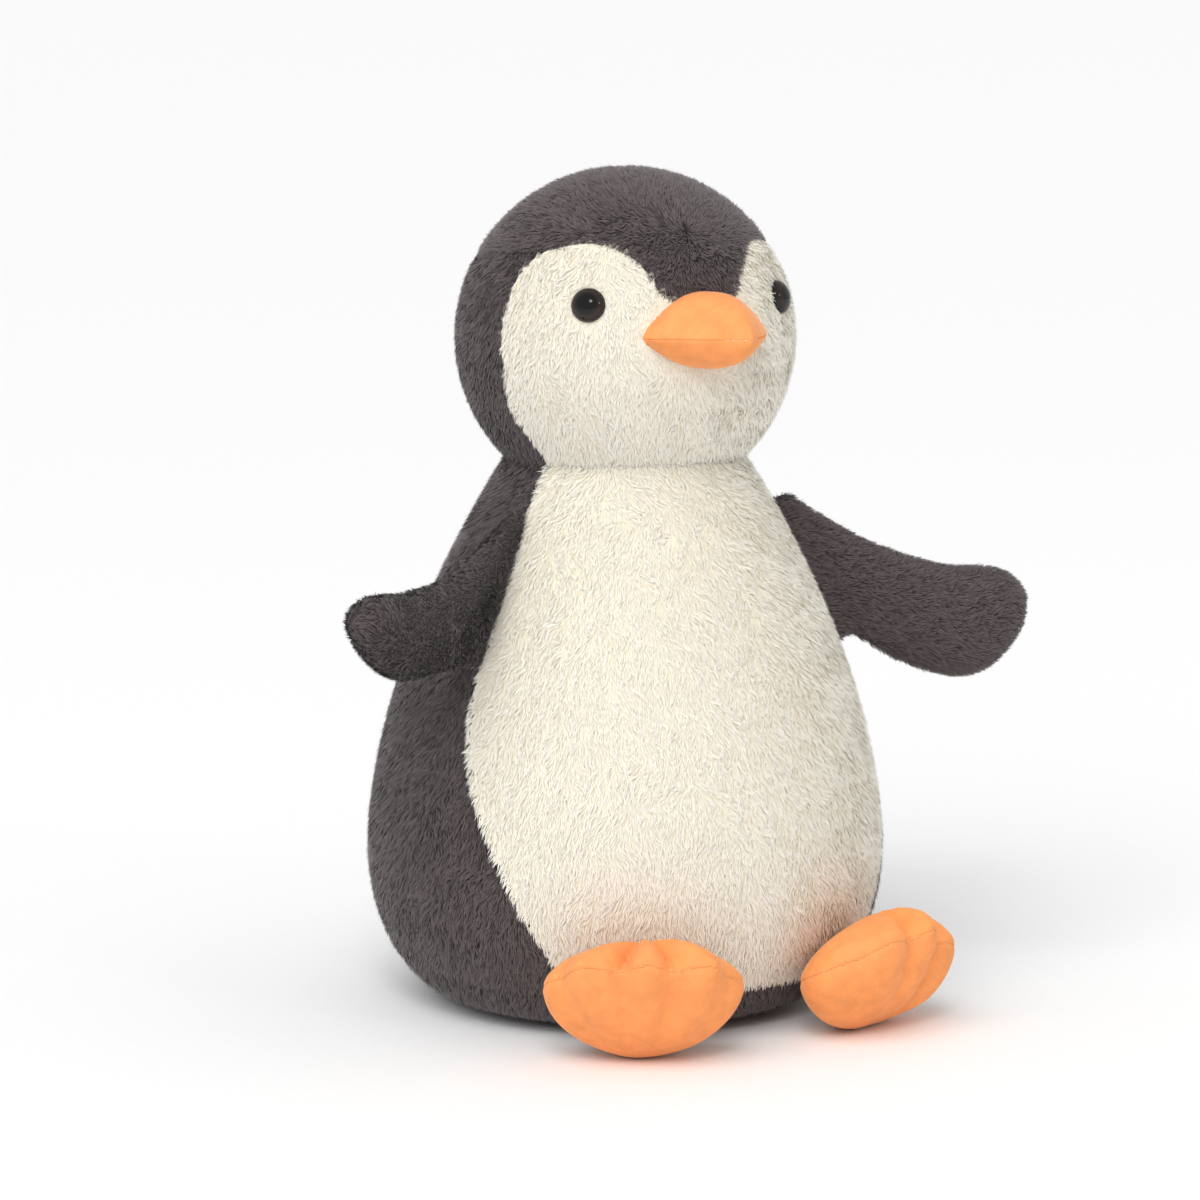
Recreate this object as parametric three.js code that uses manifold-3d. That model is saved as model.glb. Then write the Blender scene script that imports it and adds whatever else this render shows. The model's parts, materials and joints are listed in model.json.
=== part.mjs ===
// A sitting plush penguin, sewn from pile fabric and suedette over loose fibre filling.
// Millimetres, +Z up, beak towards -Y, the toy's own right side at -X. The origin is the middle
// of the flat face it sits on. Every fabric panel is its own solid, parted from its neighbours by
// the seam gap, and every stuffing, eye and washer is a solid too.

import * as THREE from 'three';
import { mergeVertices } from 'three/addons/utils/BufferGeometryUtils.js';
import Module from 'manifold-3d';

const wasm = await Module();
wasm.setup();

// ---- Driving dimensions: millimetres and degrees ----

const SEAM_GAP = 0.3;             // left between touching pieces
const FILL_GAP = 2;               // between a curved cloth wall and the filling behind it
const PILE_CLOTH = 6;             // backing and pile of the body and head fabric
const WING_CLOTH = 4.5;           // the same fabric, pressed thinner on the wings
const SUEDETTE = 2;               // smooth fabric of the beak and feet

const HEAD_TOP = 500;
const HEAD_CENTRE = 397;
const HEAD_HALF_WIDTH = 104.5;
const HEAD_HALF_DEPTH = 100;
const NECK_HEIGHT = 325;

const GIRTH_RADIUS = 157;         // the torso at its widest
const GIRTH_HEIGHT = 92;
const BASE_RADIUS = 97;           // the flat face that the toy sits on
const BASE_SEAM_HEIGHT = 30;      // where the base panel is sewn to the panels above
const SHOULDER_POWER = 1.75;      // how long the torso stays wide before it narrows to the neck

const TUMMY_EDGE = 71;            // half-angle of the pale front panel, from straight ahead
const TUMMY_EDGE_BOTTOM = 40;     // the same at the base seam
const TUMMY_TAPER_HEIGHT = 180;   // below this the panel tapers
const TUMMY_TAPER_POWER = 1.3;

const LOBE_LONGITUDE = 43;        // middle of each round lobe of the face, seen from the head's centre
const LOBE_LATITUDE = 5;
const LOBE_CORNER_POWER = 2.8;    // squareness of a lobe's outer corner, 2 for an ellipse
const LOBE_HALF_WIDTH = 31;
const LOBE_HALF_HEIGHT = 32;
const PEAK_LATITUDE = 11;         // the dark point between the lobes ends here, under the beak
const JOWL_LATITUDE = -20;        // the face's side edge runs straight down to here
const THROAT_LONGITUDE = 63;      // half-angle of the face at the neck
const THROAT_LATITUDE = -60;      // below the neck, so that the panel reaches it
const CROWN_SEAM_HEIGHT = 449;    // on the head's axis; the seam falls towards the back
const CROWN_SEAM_FALL = 0.08;     // fall per millimetre towards the back

const EYE_LONGITUDE = 41;
const EYE_LATITUDE = 15;
const EYE_RADIUS = 10;
const EYE_DOME = 6.5;
const EYE_RECESS = 4.5;            // depth of the pressed-down pile under the eye
const SHANK_RADIUS = 2.5;
const SHANK_LENGTH = 14;
const WASHER_RADIUS = 8.5;
const WASHER_THICKNESS = 1.5;

const BEAK_HEIGHT = 404;          // of the seam between the two beak panels, at the face
const BEAK_HALF_WIDTH = 39;
const BEAK_RISE = 26;
const BEAK_DROP = 18;
const BEAK_LENGTH = 48;
const BEAK_TILT = 2;
const BEAK_ROOT = 30;             // how far the beak is drawn inside the head before it is cut off
const BEAK_NARROWING = 0.85;      // power by which it narrows towards the tip, 1 for a straight edge
const BEAK_LOWERING = 0.7;        // power by which its ridge falls towards the tip

const WING_ANGLE = 71;            // where the wing is sewn on, from straight ahead
const WING_POSE = {               // how each wing was left: where it points, and how far its tip lies
  right: { pointing: 65, drop: 54 },   // down along the seam's direction
  left: { pointing: 76, drop: 77 },
};
const WING_SEAM_TOP = 306;
const WING_SEAM_BOTTOM = 212;
const WING_BEAD = 6;              // half-thickness of the wing at its seam
const WING_HALF_THICKNESS = 18;
const WING_REACH = 110;           // from the seam to the tip, square to the seam
const WING_CLEARANCE = 2.5;       // between the wing's root and the torso

const FOOT_ANGLE = 26;            // where each foot points, from straight ahead
const FOOT_SEAM_HEIGHT = 25;      // height of the fabric hinge at the heel
const FOOT_LENGTH = 68;
const FOOT_HALF_WIDTH = 59;
const FOOT_RISE = 26;             // of the top panel above the seam
const FOOT_DEPTH = 43;            // of the sole below the seam, before the floor flattens it
const TOE_LIFT = 35;              // rise of the seam from the heel to the toes
const TOE_LIFT_POWER = 0.8;       // how late the seam turns up
const TOE_DROOP = { right: 0, left: 24 };  // how far the outer edge of a foot hangs down
const TOE_PITCH = 44;             // degrees from one toe to the next
const TOE_REACH = 11;             // how far each of the three toes stands out of the outline
const TOE_ARCH = 3;               // how far the seam arches up over each toe
const TOE_GROOVE = 20;            // depth of the groove between two toes
const FOOT_DOME_POWER = 0.6;      // fullness of the foot towards its seam, 0.5 for an ellipse
const FOOT_CLEARANCE = 2;
const FOOT_LIFT_RANGE = 15;       // degrees that the foot turns up at its hinge
const LIFT_MARGIN = 1;            // room left behind the foot at every lift

const POUCH_RADIUS = 72;          // bag of plastic pellets that keeps the toy upright
const POUCH_HEIGHT = 34;

const DEG = Math.PI / 180;
const HEAD_HALF_HEIGHT = HEAD_TOP - HEAD_CENTRE;
const NECK_DROP = (HEAD_CENTRE - NECK_HEIGHT) / HEAD_HALF_HEIGHT;
const NECK_RADIUS = HEAD_HALF_WIDTH * Math.sqrt(1 - NECK_DROP * NECK_DROP);
const SIDES = [['right', -1], ['left', 1]];
const HEAD_RINGS = 10;
const HEAD_SEGMENTS = 32;
const FOOT_SEGMENTS = 32;
const EYE_SEGMENTS = 16;

// ---- Closed meshes ----

// One closed body from loose triangles: joins its points, drops flat triangles, faces it outwards.
function solid(triangles) {
  const loose = new THREE.BufferGeometry();
  loose.setAttribute('position', new THREE.Float32BufferAttribute(triangles.flat(2), 3));
  const merged = mergeVertices(loose, 1e-3);
  const index = [...merged.index.array];
  const kept = [];
  for (let i = 0; i < index.length; i += 3) {
    const [a, b, c] = index.slice(i, i + 3);
    if (a !== b && b !== c && c !== a) {
      kept.push(a, b, c);
    }
  }
  merged.setIndex(signedVolume(merged.attributes.position, kept) < 0 ? kept.reverse() : kept);
  return merged;
}

function signedVolume(position, index) {
  const corner = [new THREE.Vector3(), new THREE.Vector3(), new THREE.Vector3()];
  let sum = 0;
  for (let i = 0; i < index.length; i += 3) {
    corner.forEach((point, k) => point.fromBufferAttribute(position, index[i + k]));
    sum += corner[0].dot(corner[1].cross(corner[2]));
  }
  return sum;
}

// A grid of points from a function of u and v, both 0 to 1.
function grid(point, across, along) {
  const rows = [];
  for (let i = 0; i <= across; i += 1) {
    const row = [];
    for (let j = 0; j <= along; j += 1) {
      row.push(point(i / across, j / along));
    }
    rows.push(row);
  }
  return rows;
}

function quad(a, b, c, d) {
  return [[a, b, c], [a, c, d]];
}

// Triangles of a grid, turned over for the inner side of a wall.
function gridFaces(rows, flipped) {
  const faces = [];
  for (let i = 0; i + 1 < rows.length; i += 1) {
    for (let j = 0; j + 1 < rows[i].length; j += 1) {
      const corners = [rows[i][j], rows[i + 1][j], rows[i + 1][j + 1], rows[i][j + 1]];
      faces.push(...quad(...(flipped ? corners.reverse() : corners)));
    }
  }
  return faces;
}

// A strip between two lines of points.
function strip(first, second) {
  return gridFaces([first, second], false);
}

// A panel with a thickness: an outer and an inner surface over the same u and v. A panel that
// goes all the way round in v has no side edges.
function panel(outer, inner, across, along, round = false) {
  const out = grid(outer, across, along);
  const back = grid(inner, across, along);
  const faces = [...gridFaces(out, false), ...gridFaces(back, true)];
  faces.push(...strip(back[0], out[0]));
  faces.push(...strip(out[across], back[across]));
  if (!round) {
    const column = (rows, j) => rows.map((row) => row[j]);
    faces.push(...strip(column(out, 0), column(back, 0)));
    faces.push(...strip(column(back, along), column(out, along)));
  }
  return solid(faces);
}

// A closed body over u and v, round in v, with each end drawn to its middle.
function plump(point, across, along) {
  const rows = grid(point, across, along);
  const middle = (row) => {
    const sum = row.slice(1).reduce((total, p) => total.map((value, k) => value + p[k]), [0, 0, 0]);
    return sum.map((value) => value / (row.length - 1));
  };
  const first = rows[0].map(() => middle(rows[0]));
  const last = rows[across].map(() => middle(rows[across]));
  return solid(gridFaces([first, ...rows, last], false));
}

// The same body on the toy's other side.
function mirrored(geometry) {
  const other = geometry.clone().scale(-1, 1, 1);
  other.setIndex([...geometry.index.array].reverse());
  return other;
}

// A turned body about Z from [radius, height] points that start and end on the axis.
function turned(profile, segments) {
  const points = profile.map(([radius, height]) => new THREE.Vector2(radius, height));
  const geometry = new THREE.LatheGeometry(points, segments).rotateX(Math.PI / 2);
  const position = geometry.attributes.position;
  const corner = (k) => new THREE.Vector3().fromBufferAttribute(position, k).toArray();
  const index = geometry.index.array;
  const triangles = [];
  for (let i = 0; i < index.length; i += 3) {
    triangles.push([corner(index[i]), corner(index[i + 1]), corner(index[i + 2])]);
  }
  return solid(triangles);
}

function toSolid(geometry) {
  const bare = geometry.clone();
  bare.deleteAttribute('normal');
  bare.deleteAttribute('uv');
  const merged = mergeVertices(bare, 1e-4);
  const vertProperties = new Float32Array(merged.attributes.position.array);
  const triVerts = new Uint32Array(merged.index.array);
  return new wasm.Manifold(new wasm.Mesh({ numProp: 3, vertProperties, triVerts }));
}

function fromSolid(body) {
  const mesh = body.getMesh();
  const geometry = new THREE.BufferGeometry();
  geometry.setAttribute('position', new THREE.Float32BufferAttribute(mesh.vertProperties, 3));
  geometry.setIndex([...mesh.triVerts]);
  return geometry;
}

// ---- Torso ----

// Radius at a height, for the outer surface or one a distance inside it.
function torsoRadius(z, inset = 0) {
  if (z < GIRTH_HEIGHT) {
    const drop = (GIRTH_HEIGHT - z) / (GIRTH_HEIGHT - inset);
    const curve = Math.sqrt(Math.max(0, 1 - drop * drop));
    return BASE_RADIUS + (GIRTH_RADIUS - BASE_RADIUS - inset) * curve;
  }
  const rise = (z - GIRTH_HEIGHT) / (NECK_HEIGHT - GIRTH_HEIGHT);
  return GIRTH_RADIUS - inset - (GIRTH_RADIUS - NECK_RADIUS) * rise ** SHOULDER_POWER;
}

// A point at an angle from straight ahead, positive towards the toy's left.
function around(radius, degrees, z) {
  return [radius * Math.sin(degrees * DEG), -radius * Math.cos(degrees * DEG), z];
}

// Half-angle of the front panel at a height.
function tummyEdge(z) {
  const below = Math.max(0, TUMMY_TAPER_HEIGHT - z) / (TUMMY_TAPER_HEIGHT - BASE_SEAM_HEIGHT);
  return TUMMY_EDGE - (TUMMY_EDGE - TUMMY_EDGE_BOTTOM) * below ** TUMMY_TAPER_POWER;
}

// A panel of the torso between two angles that change with height, half a gap in from each seam.
function torsoPanel(fromAngle, toAngle, columns) {
  const low = BASE_SEAM_HEIGHT + SEAM_GAP / 2;
  const high = NECK_HEIGHT - SEAM_GAP / 2;
  const rows = 10;
  const surface = (inset) => (u, v) => {
    const z = low + (high - low) * u;
    const trim = SEAM_GAP / 2 / NECK_RADIUS / DEG;
    const angle = fromAngle(z) + trim + (toAngle(z) - fromAngle(z) - 2 * trim) * v;
    return around(torsoRadius(z, inset), angle, z);
  };
  return panel(surface(0), surface(PILE_CLOTH), rows, columns);
}

// Heights from the base to a top, closer together where the torso's foot curves.
function torsoHeights(low, top, steps) {
  const heights = [];
  const crowding = 1.6;
  for (let i = 0; i <= steps; i += 1) {
    heights.push(low + (top - low) * (i / steps) ** crowding);
  }
  return heights;
}

function basePanel() {
  const seam = BASE_SEAM_HEIGHT - SEAM_GAP / 2;
  const outer = torsoHeights(0, seam, 6).map((z) => [torsoRadius(z), z]);
  const inner = torsoHeights(PILE_CLOTH, seam, 4).map((z) => [torsoRadius(z, PILE_CLOTH), z]);
  return turned([[0, 0], ...outer, ...inner.reverse(), [0, PILE_CLOTH]], 30);
}

function pelletPouch() {
  const floor = PILE_CLOTH + SEAM_GAP;
  const half = POUCH_HEIGHT / 2;
  const profile = [];
  const steps = 6;
  for (let i = 0; i <= steps; i += 1) {
    const angle = -90 + (180 * i) / steps;
    const bulge = half * Math.cos(angle * DEG);
    profile.push([POUCH_RADIUS - half + bulge, floor + half + half * Math.sin(angle * DEG)]);
  }
  return turned([[0, floor], ...profile, [0, floor + POUCH_HEIGHT]], 24);
}

// The torso's fibre filling, with a hollow below for the pellet pouch.
function bodyFill() {
  const inset = PILE_CLOTH + FILL_GAP;
  const hollow = POUCH_RADIUS + FILL_GAP;
  const ceiling = inset + POUCH_HEIGHT + SEAM_GAP;
  const top = NECK_HEIGHT - SEAM_GAP / 2;
  const side = torsoHeights(inset, top, 10).map((z) => [torsoRadius(z, inset), z]);
  return turned([[0, ceiling], [hollow, ceiling], [hollow, inset], ...side, [0, top]], 28);
}

// ---- Head ----

// A direction from the head's centre, in degrees of longitude and latitude, as a point at a
// multiple of the head's own half-sizes.
function headPoint(longitude, latitude, scale) {
  const level = Math.cos(latitude * DEG) * scale;
  return [
    HEAD_HALF_WIDTH * level * Math.sin(longitude * DEG),
    -HEAD_HALF_DEPTH * level * Math.cos(longitude * DEG),
    HEAD_CENTRE + HEAD_HALF_HEIGHT * Math.sin(latitude * DEG) * scale,
  ];
}

// The head as a solid, cut off square at a height near the neck.
function headSolid(inset, cutHeight, rings, segments) {
  const radius = HEAD_HALF_WIDTH - inset;
  const height = HEAD_HALF_HEIGHT - inset;
  const lowest = Math.asin(Math.max(-1, (cutHeight - HEAD_CENTRE) / height));
  const profile = [[0, cutHeight]];
  for (let i = 0; i < rings; i += 1) {
    const angle = lowest + (Math.PI / 2 - lowest) * (i / rings);
    profile.push([radius * Math.cos(angle), HEAD_CENTRE + height * Math.sin(angle)]);
  }
  profile.push([0, HEAD_CENTRE + height]);
  const depth = (HEAD_HALF_DEPTH - inset) / radius;
  return toSolid(turned(profile, segments).scale(1, depth, 1));
}

// Right half of the face's outline as [longitude, latitude], from the peak down to the throat.
function faceOutline() {
  const points = [];
  const steps = 12;
  const start = 157;
  for (let i = 0; i <= steps; i += 1) {
    const angle = (start - (start * i) / steps) * DEG;
    const share = Math.cos(angle) > 0 ? 2 / LOBE_CORNER_POWER : 1;
    const across = Math.sign(Math.cos(angle)) * Math.abs(Math.cos(angle)) ** share;
    const longitude = LOBE_LONGITUDE + LOBE_HALF_WIDTH * across;
    points.push([longitude, LOBE_LATITUDE + LOBE_HALF_HEIGHT * Math.sin(angle) ** share]);
  }
  points.push([LOBE_LONGITUDE + LOBE_HALF_WIDTH, JOWL_LATITUDE]);
  points.push([THROAT_LONGITUDE, THROAT_LATITUDE]);
  return points;
}

// The whole outline, closed, moved outwards everywhere by an angle.
function wholeFaceOutline(growth) {
  const half = faceOutline();
  const mirrored = half.map(([longitude, latitude]) => [-longitude, latitude]).reverse();
  const outline = [[0, PEAK_LATITUDE], ...half, ...mirrored];
  return outline.map(([x, y], k) => {
    const before = outline[(k + outline.length - 1) % outline.length];
    const after = outline[(k + 1) % outline.length];
    const along = new THREE.Vector2(after[0] - before[0], after[1] - before[1]).normalize();
    return [x - along.y * growth, y + along.x * growth];
  });
}

// A cone from the head's centre through the face's outline.
function faceCone(growth) {
  const reach = 1.9;
  const apex = [0, 0, HEAD_CENTRE];
  const chin = headPoint(0, JOWL_LATITUDE, reach);
  const rim = wholeFaceOutline(growth).map(([x, y]) => headPoint(x, y, reach));
  const faces = rim.flatMap((point, k) => {
    const next = rim[(k + 1) % rim.length];
    return [[apex, point, next], [chin, next, point]];
  });
  return toSolid(solid(faces));
}

// A block on one side of the head, above or below the crown's tilted seam.
function headBlock(side, above) {
  const size = 4 * HEAD_HALF_WIDTH;
  const block = new THREE.BoxGeometry(size, size, size);
  const lift = (size / 2 + SEAM_GAP / 2) * (above ? 1 : -1);
  block.translate(side * (size / 2 + SEAM_GAP / 2), 0, lift);
  block.rotateX(-Math.atan(CROWN_SEAM_FALL));
  block.translate(0, 0, CROWN_SEAM_HEIGHT);
  return toSolid(block);
}

// A block round one half of the dark peak between the face's lobes, which belongs to the crown.
function peakBlock(side) {
  const [x, y] = headPoint(LOBE_LONGITUDE, LOBE_LATITUDE + LOBE_HALF_HEIGHT, 1);
  const block = new THREE.BoxGeometry(x - SEAM_GAP / 2, HEAD_HALF_DEPTH, HEAD_HALF_HEIGHT);
  const aside = side * (x / 2 + SEAM_GAP / 4);
  const top = CROWN_SEAM_HEIGHT + CROWN_SEAM_FALL * HEAD_HALF_DEPTH;
  block.translate(aside, (y - HEAD_HALF_DEPTH) / 2, top - HEAD_HALF_HEIGHT / 2);
  return toSolid(block);
}

// Place of an eye: its seat on the pressed-down pile, facing straight out of the head.
function eyePlace(side) {
  const [x, y, z] = headPoint(side * EYE_LONGITUDE, EYE_LATITUDE, 1);
  const out = new THREE.Vector3(
    x / HEAD_HALF_WIDTH ** 2,
    y / HEAD_HALF_DEPTH ** 2,
    (z - HEAD_CENTRE) / HEAD_HALF_HEIGHT ** 2,
  ).normalize();
  const seat = new THREE.Vector3(x, y, z).addScaledVector(out, -EYE_RECESS);
  const turn = new THREE.Quaternion().setFromUnitVectors(new THREE.Vector3(0, 0, 1), out);
  return new THREE.Matrix4().compose(seat, turn, new THREE.Vector3(1, 1, 1));
}

// A domed eye on a shank, its seat at height 0.
function eyeBody() {
  const profile = [[0, -SHANK_LENGTH], [SHANK_RADIUS, -SHANK_LENGTH], [SHANK_RADIUS, 0], [EYE_RADIUS, 0]];
  const steps = 5;
  for (let i = 1; i < steps; i += 1) {
    const angle = (90 * i) / steps * DEG;
    profile.push([EYE_RADIUS * Math.cos(angle), EYE_DOME * Math.sin(angle)]);
  }
  return turned([...profile, [0, EYE_DOME]], EYE_SEGMENTS);
}

// Depth below the eye's seat where the lock washer clips on, just inside the fabric.
function washerDepth() {
  return PILE_CLOTH - EYE_RECESS + FILL_GAP;
}

// The lock washer, or with no bore and a gap all round, the room it needs.
function washerBody(bore, gap) {
  const top = -washerDepth() + gap;
  const bottom = top - WASHER_THICKNESS - 2 * gap;
  const rim = WASHER_RADIUS + gap;
  const profile = [[bore, bottom], [rim, bottom], [rim, top], [bore, top]];
  return turned(bore > 0 ? [...profile, [bore, bottom]] : profile, EYE_SEGMENTS);
}

// Room for the eye's recess in the pile: as the eye, with its dome run on outwards.
function eyeCutter(side) {
  const room = EYE_RADIUS + SEAM_GAP;
  const hole = SHANK_RADIUS + SEAM_GAP;
  const deep = -SHANK_LENGTH - SEAM_GAP;
  const high = EYE_DOME + EYE_RECESS;
  const profile = [[0, deep], [hole, deep], [hole, -SEAM_GAP], [room, -SEAM_GAP], [room, high]];
  const tool = turned([...profile, [0, high]], EYE_SEGMENTS);
  return toSolid(tool.applyMatrix4(eyePlace(side)));
}

function washerCutter(side) {
  return toSolid(washerBody(0, SEAM_GAP).applyMatrix4(eyePlace(side)));
}

function headPieces() {
  const neckCut = NECK_HEIGHT + SEAM_GAP / 2;
  const outer = headSolid(0, neckCut, HEAD_RINGS, HEAD_SEGMENTS);
  const hollow = headSolid(PILE_CLOTH, neckCut - PILE_CLOTH, HEAD_RINGS, HEAD_SEGMENTS);
  const shell = outer.subtract(hollow);
  const half = SEAM_GAP / 2 / HEAD_HALF_WIDTH / DEG;
  let face = shell.intersect(faceCone(-half));
  let fill = headSolid(PILE_CLOTH + FILL_GAP, neckCut, HEAD_RINGS - 2, HEAD_SEGMENTS - 8);
  for (const [, side] of SIDES) {
    face = face.subtract(eyeCutter(side));
    fill = fill.subtract(eyeCutter(side)).subtract(washerCutter(side));
  }
  const hood = shell.subtract(faceCone(half * 2));
  const pieces = { face_panel: fromSolid(face), head_fill: fromSolid(fill) };
  for (const [name, side] of SIDES) {
    const peak = peakBlock(side);
    const crown = hood.intersect(headBlock(side, true).add(peak));
    const nape = hood.intersect(headBlock(side, false)).subtract(peak);
    pieces[`crown_panel_${name}`] = fromSolid(crown);
    pieces[`nape_panel_${name}`] = fromSolid(nape);
  }
  return pieces;
}

// ---- Beak ----

// A point of the beak: u from its root to its tip, v round it from its right corner over the top.
// Its sections are almond-shaped, with the two panels meeting in the corners.
function beakPoint(u, v, inset) {
  const length = BEAK_LENGTH - inset;
  const forward = -BEAK_ROOT + (BEAK_ROOT + length) * Math.sin(u * 90 * DEG);
  const ahead = Math.max(0, forward) / length;
  const narrowing = Math.max(0, 1 - ahead) ** BEAK_NARROWING;
  const lowering = Math.max(0, 1 - ahead * ahead) ** BEAK_LOWERING;
  const turn = v * 360 * DEG;
  const lobe = Math.sin(turn);
  const tall = (lobe > 0 ? BEAK_RISE : BEAK_DROP) - inset;
  const x = (BEAK_HALF_WIDTH - 1.5 * inset) * narrowing * Math.cos(turn);
  const z = tall * lowering * lobe * Math.abs(lobe);
  return [x, -forward, z];
}

function beakPlace() {
  const level = (BEAK_HEIGHT - HEAD_CENTRE) / HEAD_HALF_HEIGHT;
  const front = -HEAD_HALF_DEPTH * Math.sqrt(1 - level * level);
  const turn = new THREE.Matrix4().makeRotationX(-BEAK_TILT * DEG);
  return new THREE.Matrix4().makeTranslation(0, front, BEAK_HEIGHT).multiply(turn);
}

function beakPieces() {
  const face = headSolid(-SEAM_GAP, NECK_HEIGHT, HEAD_RINGS, HEAD_SEGMENTS);
  const cut = (geometry) => fromSolid(toSolid(geometry.applyMatrix4(beakPlace())).subtract(face));
  const trim = SEAM_GAP / BEAK_RISE / 8;
  const half = (start) => {
    const surface = (inset) => (u, v) => {
      const [x, y, z] = beakPoint(u, start + trim + (0.5 - 2 * trim) * v, inset);
      const lift = (start === 0 ? 1 : -1) * SEAM_GAP / 2;
      return [x, y, z + lift];
    };
    return panel(surface(0), surface(SUEDETTE), 8, 10);
  };
  return {
    beak_upper: cut(half(0)),
    beak_lower: cut(half(0.5)),
    beak_fill: cut(plump((u, v) => beakPoint(u, v, SUEDETTE + 2 * SEAM_GAP), 7, 14)),
  };
}

// ---- Wings ----

// A wing lies in its own plane: x away from the seam, y up along it. Its upper and its lower edge
// both run from the seam to the tip.
const WING_SEAM = new THREE.Vector2(
  torsoRadius(WING_SEAM_BOTTOM) - torsoRadius(WING_SEAM_TOP),
  WING_SEAM_TOP - WING_SEAM_BOTTOM,
).length();

// The two edges for a wing whose tip lies a drop down along the seam's direction.
function wingEdges(drop) {
  const tip = new THREE.Vector2(WING_REACH, -drop);
  const upper = new THREE.SplineCurve([
    new THREE.Vector2(0, WING_SEAM / 2),
    new THREE.Vector2(WING_REACH * 0.28, drop * 0.03),
    new THREE.Vector2(WING_REACH * 0.62, -drop * 0.46),
    new THREE.Vector2(WING_REACH * 0.93, -drop * 0.72),
    tip,
  ]);
  const lower = new THREE.SplineCurve([
    new THREE.Vector2(0, -WING_SEAM / 2),
    new THREE.Vector2(WING_REACH * 0.26, -drop * 1.16),
    new THREE.Vector2(WING_REACH * 0.55, -drop * 1.42),
    new THREE.Vector2(WING_REACH * 0.86, -drop * 1.3),
    tip,
  ]);
  return { upper, lower };
}

function wingHalfThickness(u) {
  const swell = WING_BEAD + (WING_HALF_THICKNESS - WING_BEAD) * Math.sin(Math.min(1, 2 * u) * 90 * DEG);
  return u < 0.5 ? swell : WING_HALF_THICKNESS * Math.sqrt(Math.max(0, 1 - (2 * u - 1) ** 2));
}

// A point of the wing: u from seam to tip, v round it from the upper edge over the back.
function wingPoint(edges, u, v, inset) {
  const reach = u * (1 - inset / WING_REACH);
  const upper = edges.upper.getPoint(reach);
  const lower = edges.lower.getPoint(reach);
  const middle = upper.clone().add(lower).multiplyScalar(0.5);
  const half = upper.clone().sub(lower).multiplyScalar(0.5);
  const close = inset > 0 ? Math.sqrt(1 - u ** 8) : 1;
  const narrow = half.length() > 0 ? (Math.max(0, half.length() - inset) / half.length()) * close : 0;
  const thick = Math.max(0, wingHalfThickness(reach) - inset) * close;
  const turn = v * 360 * DEG;
  const x = middle.x + half.x * narrow * Math.cos(turn);
  const y = middle.y + half.y * narrow * Math.cos(turn);
  return [x, y, thick * Math.sin(turn)];
}

// Frame of a wing: its seam stands off the torso by the bead and the clearance.
function wingPlace(name, side) {
  const off = WING_BEAD + WING_CLEARANCE;
  const seamEnd = (z) => new THREE.Vector3(...around(torsoRadius(z) + off, side * WING_ANGLE, z));
  const top = seamEnd(WING_SEAM_TOP);
  const bottom = seamEnd(WING_SEAM_BOTTOM);
  const up = top.clone().sub(bottom).normalize();
  const outward = new THREE.Vector3(...around(1, side * WING_POSE[name].pointing, 0));
  outward.addScaledVector(up, -outward.dot(up)).normalize();
  const thick = new THREE.Vector3().crossVectors(outward, up);
  const middle = top.clone().add(bottom).multiplyScalar(0.5);
  return new THREE.Matrix4().makeBasis(outward, up, thick).setPosition(middle);
}

function wingPieces(name) {
  const root = 0.06;
  const edges = wingEdges(WING_POSE[name].drop);
  const half = (start) => {
    const trim = SEAM_GAP / WING_BEAD / (4 * Math.PI);
    const surface = (inset) => (u, v) => wingPoint(edges, u, start + trim + (0.5 - 2 * trim) * v, inset);
    const lift = (start === 0 ? 1 : -1) * SEAM_GAP / 2;
    return panel(surface(0), surface(WING_CLOTH), 9, 6).translate(0, 0, lift);
  };
  const inside = WING_CLOTH + FILL_GAP;
  return {
    first: half(0),
    second: half(0.5),
    fill: plump((u, v) => wingPoint(edges, root + (1 - root) * u, v, inside), 8, 10),
  };
}

// ---- Feet ----

// Height of the foot's seam at a distance from the heel and a distance towards its outer edge.
function footSeam(x, outward, droop) {
  const ahead = Math.max(0, x / FOOT_LENGTH);
  const aside = Math.max(0, outward / FOOT_HALF_WIDTH);
  return FOOT_SEAM_HEIGHT + TOE_LIFT * ahead ** TOE_LIFT_POWER - droop * aside * ahead;
}

// 1 on the middle line of each of the three toes, 0 between two of them and beside the outer ones.
function toeShare(angle) {
  if (Math.abs(angle) > 1.5 * TOE_PITCH) {
    return 0;
  }
  return Math.abs(Math.cos((angle / TOE_PITCH) * 180 * DEG));
}

// A point of the foot in its own frame: x from the heel to the toes, z up from the floor. It is
// spread from the foot's middle at a share of the outline's radius, at an angle from the toes.
function footPoint(foot, share, angle, upwards, inset) {
  const toe = toeShare(angle);
  const half = FOOT_LENGTH / 2;
  const ellipse = 1 / Math.hypot(Math.cos(angle * DEG) / half, Math.sin(angle * DEG) / FOOT_HALF_WIDTH);
  const radius = (ellipse - inset + TOE_REACH * toe) * share;
  const x = half + radius * Math.cos(angle * DEG);
  const y = radius * Math.sin(angle * DEG);
  const dome = (1 - share * share) ** FOOT_DOME_POWER;
  const seam = footSeam(x, foot.side * y, foot.droop) + TOE_ARCH * toe * share ** 3;
  if (upwards) {
    const groove = Math.abs(angle) < TOE_PITCH ? TOE_GROOVE * (1 - toe) * share : 0;
    return [x, y, seam + (FOOT_RISE - inset - groove) * dome + SEAM_GAP / 2];
  }
  return [x, y, Math.max(inset, seam - (FOOT_DEPTH - inset) * dome - SEAM_GAP / 2)];
}

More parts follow.
